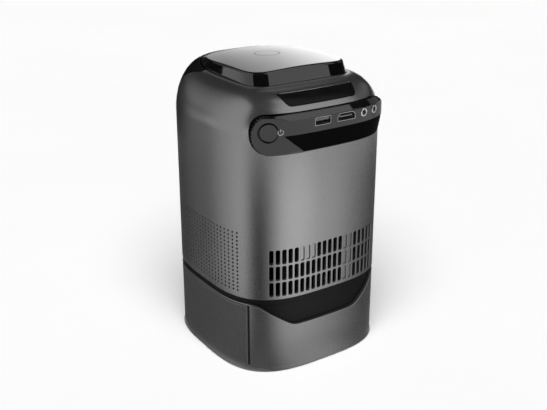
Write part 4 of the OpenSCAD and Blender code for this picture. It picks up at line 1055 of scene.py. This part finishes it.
# Camera at the photograph's viewing angle
AZIMUTH, ELEVATION = math.radians(146.126), math.radians(21.723)
AIM_Z, DISTANCE = 0.09934, 0.66271
FOCAL_PX, SHIFT_PX, WIDTH_PX = 885.977, -2.576, 547
SENSOR = 36
away = math.cos(ELEVATION)
back = Vector((math.sin(AZIMUTH) * away, -math.cos(AZIMUTH) * away, math.sin(ELEVATION)))
right = Vector((math.cos(AZIMUTH), math.sin(AZIMUTH), 0))
turn = Matrix((right, back.cross(right), back)).transposed().to_4x4()
camera = bpy.data.objects.new("camera", bpy.data.cameras.new("camera"))
camera.matrix_world = Matrix.Translation(Vector((0, 0, AIM_Z)) + back * DISTANCE) @ turn
camera.data.sensor_width = SENSOR
camera.data.lens = FOCAL_PX / WIDTH_PX * SENSOR
camera.data.shift_x = SHIFT_PX / WIDTH_PX
camera.data.clip_start = 0.01
bpy.context.scene.collection.objects.link(camera)
bpy.context.scene.camera = camera


# Floor, backdrop, and the mats and cards that the finish reflects
def staged(name, points, faces, finish):
    mesh = bpy.data.meshes.new(name)
    mesh.from_pydata(points, [], faces)
    mesh.materials.append(finish)
    made = bpy.data.objects.new(name, mesh)
    bpy.context.scene.collection.objects.link(made)
    return made


def only_reflected(thing):
    """Cards show in reflections alone: the camera, the floor and the shadows don't see them."""
    thing.visible_camera = False
    thing.visible_diffuse = False
    thing.visible_shadow = False
    thing.visible_transmission = False


def fill_ramp(ramp, stops):
    while len(ramp.elements) > 1:
        ramp.elements.remove(ramp.elements[-1])
    for i, (at, value) in enumerate(stops):
        stop = ramp.elements.new(at) if i else ramp.elements[0]
        stop.position = at
        stop.color = (value, value, value, 1)


def glow(name, stops, kind, scale=1.0, place=0.0):
    """Light that changes along a gradient, by stops of position and brightness."""
    made = bpy.data.materials.new(name)
    made.use_nodes = True
    tree = made.node_tree
    tree.nodes.clear()
    coord = node_of(tree, "TexCoord", {})
    mapping = node_of(tree, "Mapping", {
        "Vector": coord.outputs["Object"], "Location": (place, 0, 0), "Scale": (scale, scale, scale)})
    gradient = node_of(tree, "TexGradient", {"Vector": mapping.outputs["Vector"]})
    gradient.gradient_type = kind
    ramp = node_of(tree, "ValToRGB", {"Fac": gradient.outputs["Fac"]})
    peak = max(value for _, value in stops)
    fill_ramp(ramp.color_ramp, [(at, value / peak) for at, value in stops])
    light = node_of(tree, "Emission", {"Color": ramp.outputs["Color"], "Strength": peak})
    node_of(tree, "OutputMaterial", {"Surface": light.outputs["Emission"]})
    return made


FLOOR_HALF, BACKDROP_R, BACKDROP_H = 30, 9.0, 8.0
floor_corners = [(x * FLOOR_HALF, y * FLOOR_HALF, 0) for x, y in ((-1, -1), (1, -1), (1, 1), (-1, 1))]
staged("floor", floor_corners, [(0, 1, 2, 3)],
       material("floor", (0.9, 0.9, 0.9), 0.9, specular=0.0, grain=3, tone=0.01))

# Pale backdrop round the part, for views that look over the horizon
turns = np.radians(np.arange(0, 360, 5))
ring = [(BACKDROP_R * math.cos(a), BACKDROP_R * math.sin(a)) for a in turns]
points = [(x, y, z) for x, y in ring for z in (0, BACKDROP_H)]
count = len(points)
faces = [(i, (i + 2) % count, (i + 3) % count, i + 1) for i in range(0, count, 2)]
backdrop = staged("backdrop", points, faces, glow("backdrop", [(0, 0.95), (1, 0.955)], "LINEAR"))
backdrop.visible_glossy = False
backdrop.visible_diffuse = False
backdrop.visible_shadow = False

# Two soft strips of light on the floor, placed by the arc length of the wall that reflects them to the camera
MAIN_PEAK, MAIN_AT, MAIN_SPREAD, MAIN_EDGE = 1.94, 21.0, 42.0, (29.5, 52.5)
SIDE_PEAK, SIDE_AT, SIDE_SPREAD, SIDE_FALL, SIDE_EDGE = 1.15, 66.0, 33.0, 1.2, (53.0, 65.0)
REAR_FILL = 0.14
STRIP_STEPS = [*range(-66, 34, 10), *range(34, 68, 3), *range(70, 140, 12), 139]
CAMERA_COMPASS = 33.8


def ramped(s, edge):
    """Smooth climb from zero to one between two places."""
    w = np.clip((s - edge[0]) / (edge[1] - edge[0]), 0, 1)
    return w * w * (3 - 2 * w)


def strip_light(s):
    """Strength of the two strips together, with a little fill at the far side of the back."""
    main = np.exp(-(np.maximum(0, MAIN_AT - s) / MAIN_SPREAD) ** 2) * (1 - ramped(s, MAIN_EDGE))
    side = np.exp(-(np.maximum(0, s - SIDE_AT) / SIDE_SPREAD) ** SIDE_FALL) * ramped(s, SIDE_EDGE)
    return max(MAIN_PEAK * main + SIDE_PEAK * side, REAR_FILL if s < 0 else 0)


def strip_stops(reach):
    """Stops round the object that lay the strips where their wall reflects the floor."""
    stops = []
    for s in STRIP_STEPS:
        at = plan_xy(phi_of(s))
        normal = np.sign(at) * np.abs(at) ** (PLAN_POWER - 1)
        turn = 2 * math.atan2(*normal) - math.radians(CAMERA_COMPASS)
        x, y = at + reach * np.array([math.sin(turn), math.cos(turn)])
        stops.append(((0.75 - math.atan2(x, y) / (2 * math.pi)) % 1, strip_light(s)))
    stops.sort()
    (first, low), (last, high) = stops[0], stops[-1]
    seam = high + (low - high) * (1 - last) / (1 - last + first)
    return [(0.0, seam), *stops, (1.0, seam)]


MAT_Z = 0.0004


def sector(name, rings, start, end, finish):
    """A flat ring, or part of one, on the floor between two outlines."""
    points, faces = [], []
    turns = np.radians(np.linspace(start, end, num=181))
    for i, phi in enumerate(turns):
        points += [(*ring(phi), MAT_Z) for ring in rings]
        if i:
            faces.append((2 * i - 2, 2 * i - 1, 2 * i + 1, 2 * i))
    only_reflected(staged(name, points, faces, finish))


def round_at(r):
    return lambda phi: (r * math.sin(phi), r * math.cos(phi))


def mat(name, inner, outer, reach, strength, least=0.0, blend=0.0):
    """A ring on the floor with the strips' brightness, at least a given one, blended towards white."""
    stops = [(at, (1 - blend) * max(least, value * strength) + blend) for at, value in strip_stops(reach)]
    sector(name, (inner, outer), -180, 180, glow(name, stops, "RADIAL"))


# Rings from the part outwards: outer radius, distance to the wall in millimetres, strength, least, blend. The
# weaker strength of the two inner rings is painted shade: the floor's contact shadow as the base reflects it
MATS = [("mat_near", 0.10, 35, 0.44, 0.2, 0), ("mat_foot", 0.165, 60, 0.58, 0.15, 0),
        ("mat_mid", 0.30, 170, 0.9, 0, 0), ("mat_far", 0.50, 340, 1.0, 0, 0),
        ("mat_edge", 0.545, 440, 1.0, 0, 0.15)]
MAT_START, OUTER_R, FLAG_R, FLAG_TURN, FLAG_LIGHT = 66, 0.95, 25.0, (147, 210), 0.02


def mat_start(phi):
    return tuple(plan_xy(np.array(phi), MAT_START) * MM)


inner = mat_start
for name, radius, reach, strength, least, blend in MATS:
    mat(name, inner, round_at(radius), reach, strength, least, blend)
    inner = round_at(radius)

# Farther out the floor is white behind the object and dimmer at its sides, by compass angle
SIDES = [(-180, 0.02), (-152, 0.02), (-145, 0.3), (-125, 0.35), (-100, 0.4), (-75, 0.55), (-62, 0.9),
         (-55, 0.95), (100, 0.95), (128, 0.7), (140, 0.45), (147, 0.28), (153, 0.02), (180, 0.02)]
side_stops = sorted(((0.75 - az / 360) % 1, value) for az, value in SIDES)
sector("mat_outer", (inner, round_at(OUTER_R)), -180, 180, glow("mat_outer", side_stops, "RADIAL"))
flag_stops = [(0, FLAG_LIGHT), (1, FLAG_LIGHT)]
sector("flag", (round_at(OUTER_R), round_at(FLAG_R)), *FLAG_TURN, glow("flag", flag_stops, "LINEAR"))

CARD_AWAY = 4.0
CARD_EYE = 0.2


def card(name, corners, stops):
    """A flat card far out, by compass angle and elevation of its corners, with its light across."""
    middle = (min(c[0] for c in corners) + max(c[0] for c in corners)) / 2
    a = math.radians(middle)
    points = []
    for angle, climb in corners:
        off = math.radians(angle - middle)
        points.append((CARD_AWAY * math.tan(off), 0,
                       CARD_EYE + CARD_AWAY * math.tan(math.radians(climb)) / math.cos(off)))
    wide = max(p[0] for p in points)
    made = staged(name, points, [tuple(range(len(points)))], glow(name, stops, "LINEAR", 0.5 / wide, 0.5))
    out, side = Vector((math.sin(a), math.cos(a), 0)), Vector((math.cos(a), -math.sin(a), 0))
    made.matrix_world = Matrix((side, out, Vector((0, 0, 1)))).transposed().to_4x4()
    made.location = out * CARD_AWAY
    only_reflected(made)


card("rear_low", [(-40.5, 0), (-14, 0), (-14, 24), (-40.5, 24)], [(0, 1.15), (1, 1.15)])
card("rear_high", [(-58, 24), (-14, 24), (6, 53), (-20, 58), (-50, 73), (-72, 73), (-80, 60)],
     [(0, 1.05), (0.6, 1.3), (1, 0.85)])
card("corner_low", [(26, -1), (95, -1), (95, 6), (26, 6)], [(0, 1.1), (1, 1.1)])
card("side_high", [(78, -2), (139, -2), (166, 14), (172, 26), (168, 42), (78, 56)],
     [(0, 0.95), (0.45, 0.9), (0.62, 0.72), (0.7, 0.5), (0.76, 0.34), (0.83, 0.22), (1, 0.08)])
card("right_dim", [(-108, 17), (-70, 17), (-70, 32), (-108, 32)], [(0, 0.35), (1, 0.3)])
card("strip_dim", [(-148, 26), (-138, 26), (-128, 42), (-128, 52), (-148, 52)], [(0, 0.4), (1, 0.35)])
card("top_low", [(-158, -2), (-138, -2), (-138, 24), (-158, 24)],
     [(0, 0.55), (0.3, 0.75), (0.6, 1.42), (1, 3.0)])

SKY = [(0.45, 0.02), (0.72, 0.045)]
SUN_ANGLE, SUN_CLIMB, SUN_ENERGY = math.radians(50), math.radians(58), 3.87
world = bpy.data.worlds.new("world")
bpy.context.scene.world = world
world.use_nodes = True
sky = world.node_tree
direction = node_of(sky, "TexCoord", {})
split = node_of(sky, "SeparateXYZ", {"Vector": direction.outputs["Generated"]})
climb = node_of(sky, "ValToRGB", {"Fac": split.outputs["Z"]})
fill_ramp(climb.color_ramp, SKY)
feed(sky, sky.nodes["Background"], {"Color": climb.outputs["Color"]})

sun = bpy.data.lights.new("soft_top", "SUN")
sun.angle = SUN_ANGLE
sun.energy = SUN_ENERGY
overhead = bpy.data.objects.new("soft_top", sun)
lamp_turn, lamp_side = math.radians(CAMERA_COMPASS), math.cos(SUN_CLIMB)
towards = Vector((math.sin(lamp_turn) * lamp_side, math.cos(lamp_turn) * lamp_side, math.sin(SUN_CLIMB)))
overhead.rotation_euler = towards.to_track_quat("Z", "Y").to_euler()
overhead.visible_glossy = False
overhead.visible_transmission = False
bpy.context.scene.collection.objects.link(overhead)

bpy.context.scene.view_settings.view_transform = "Standard"
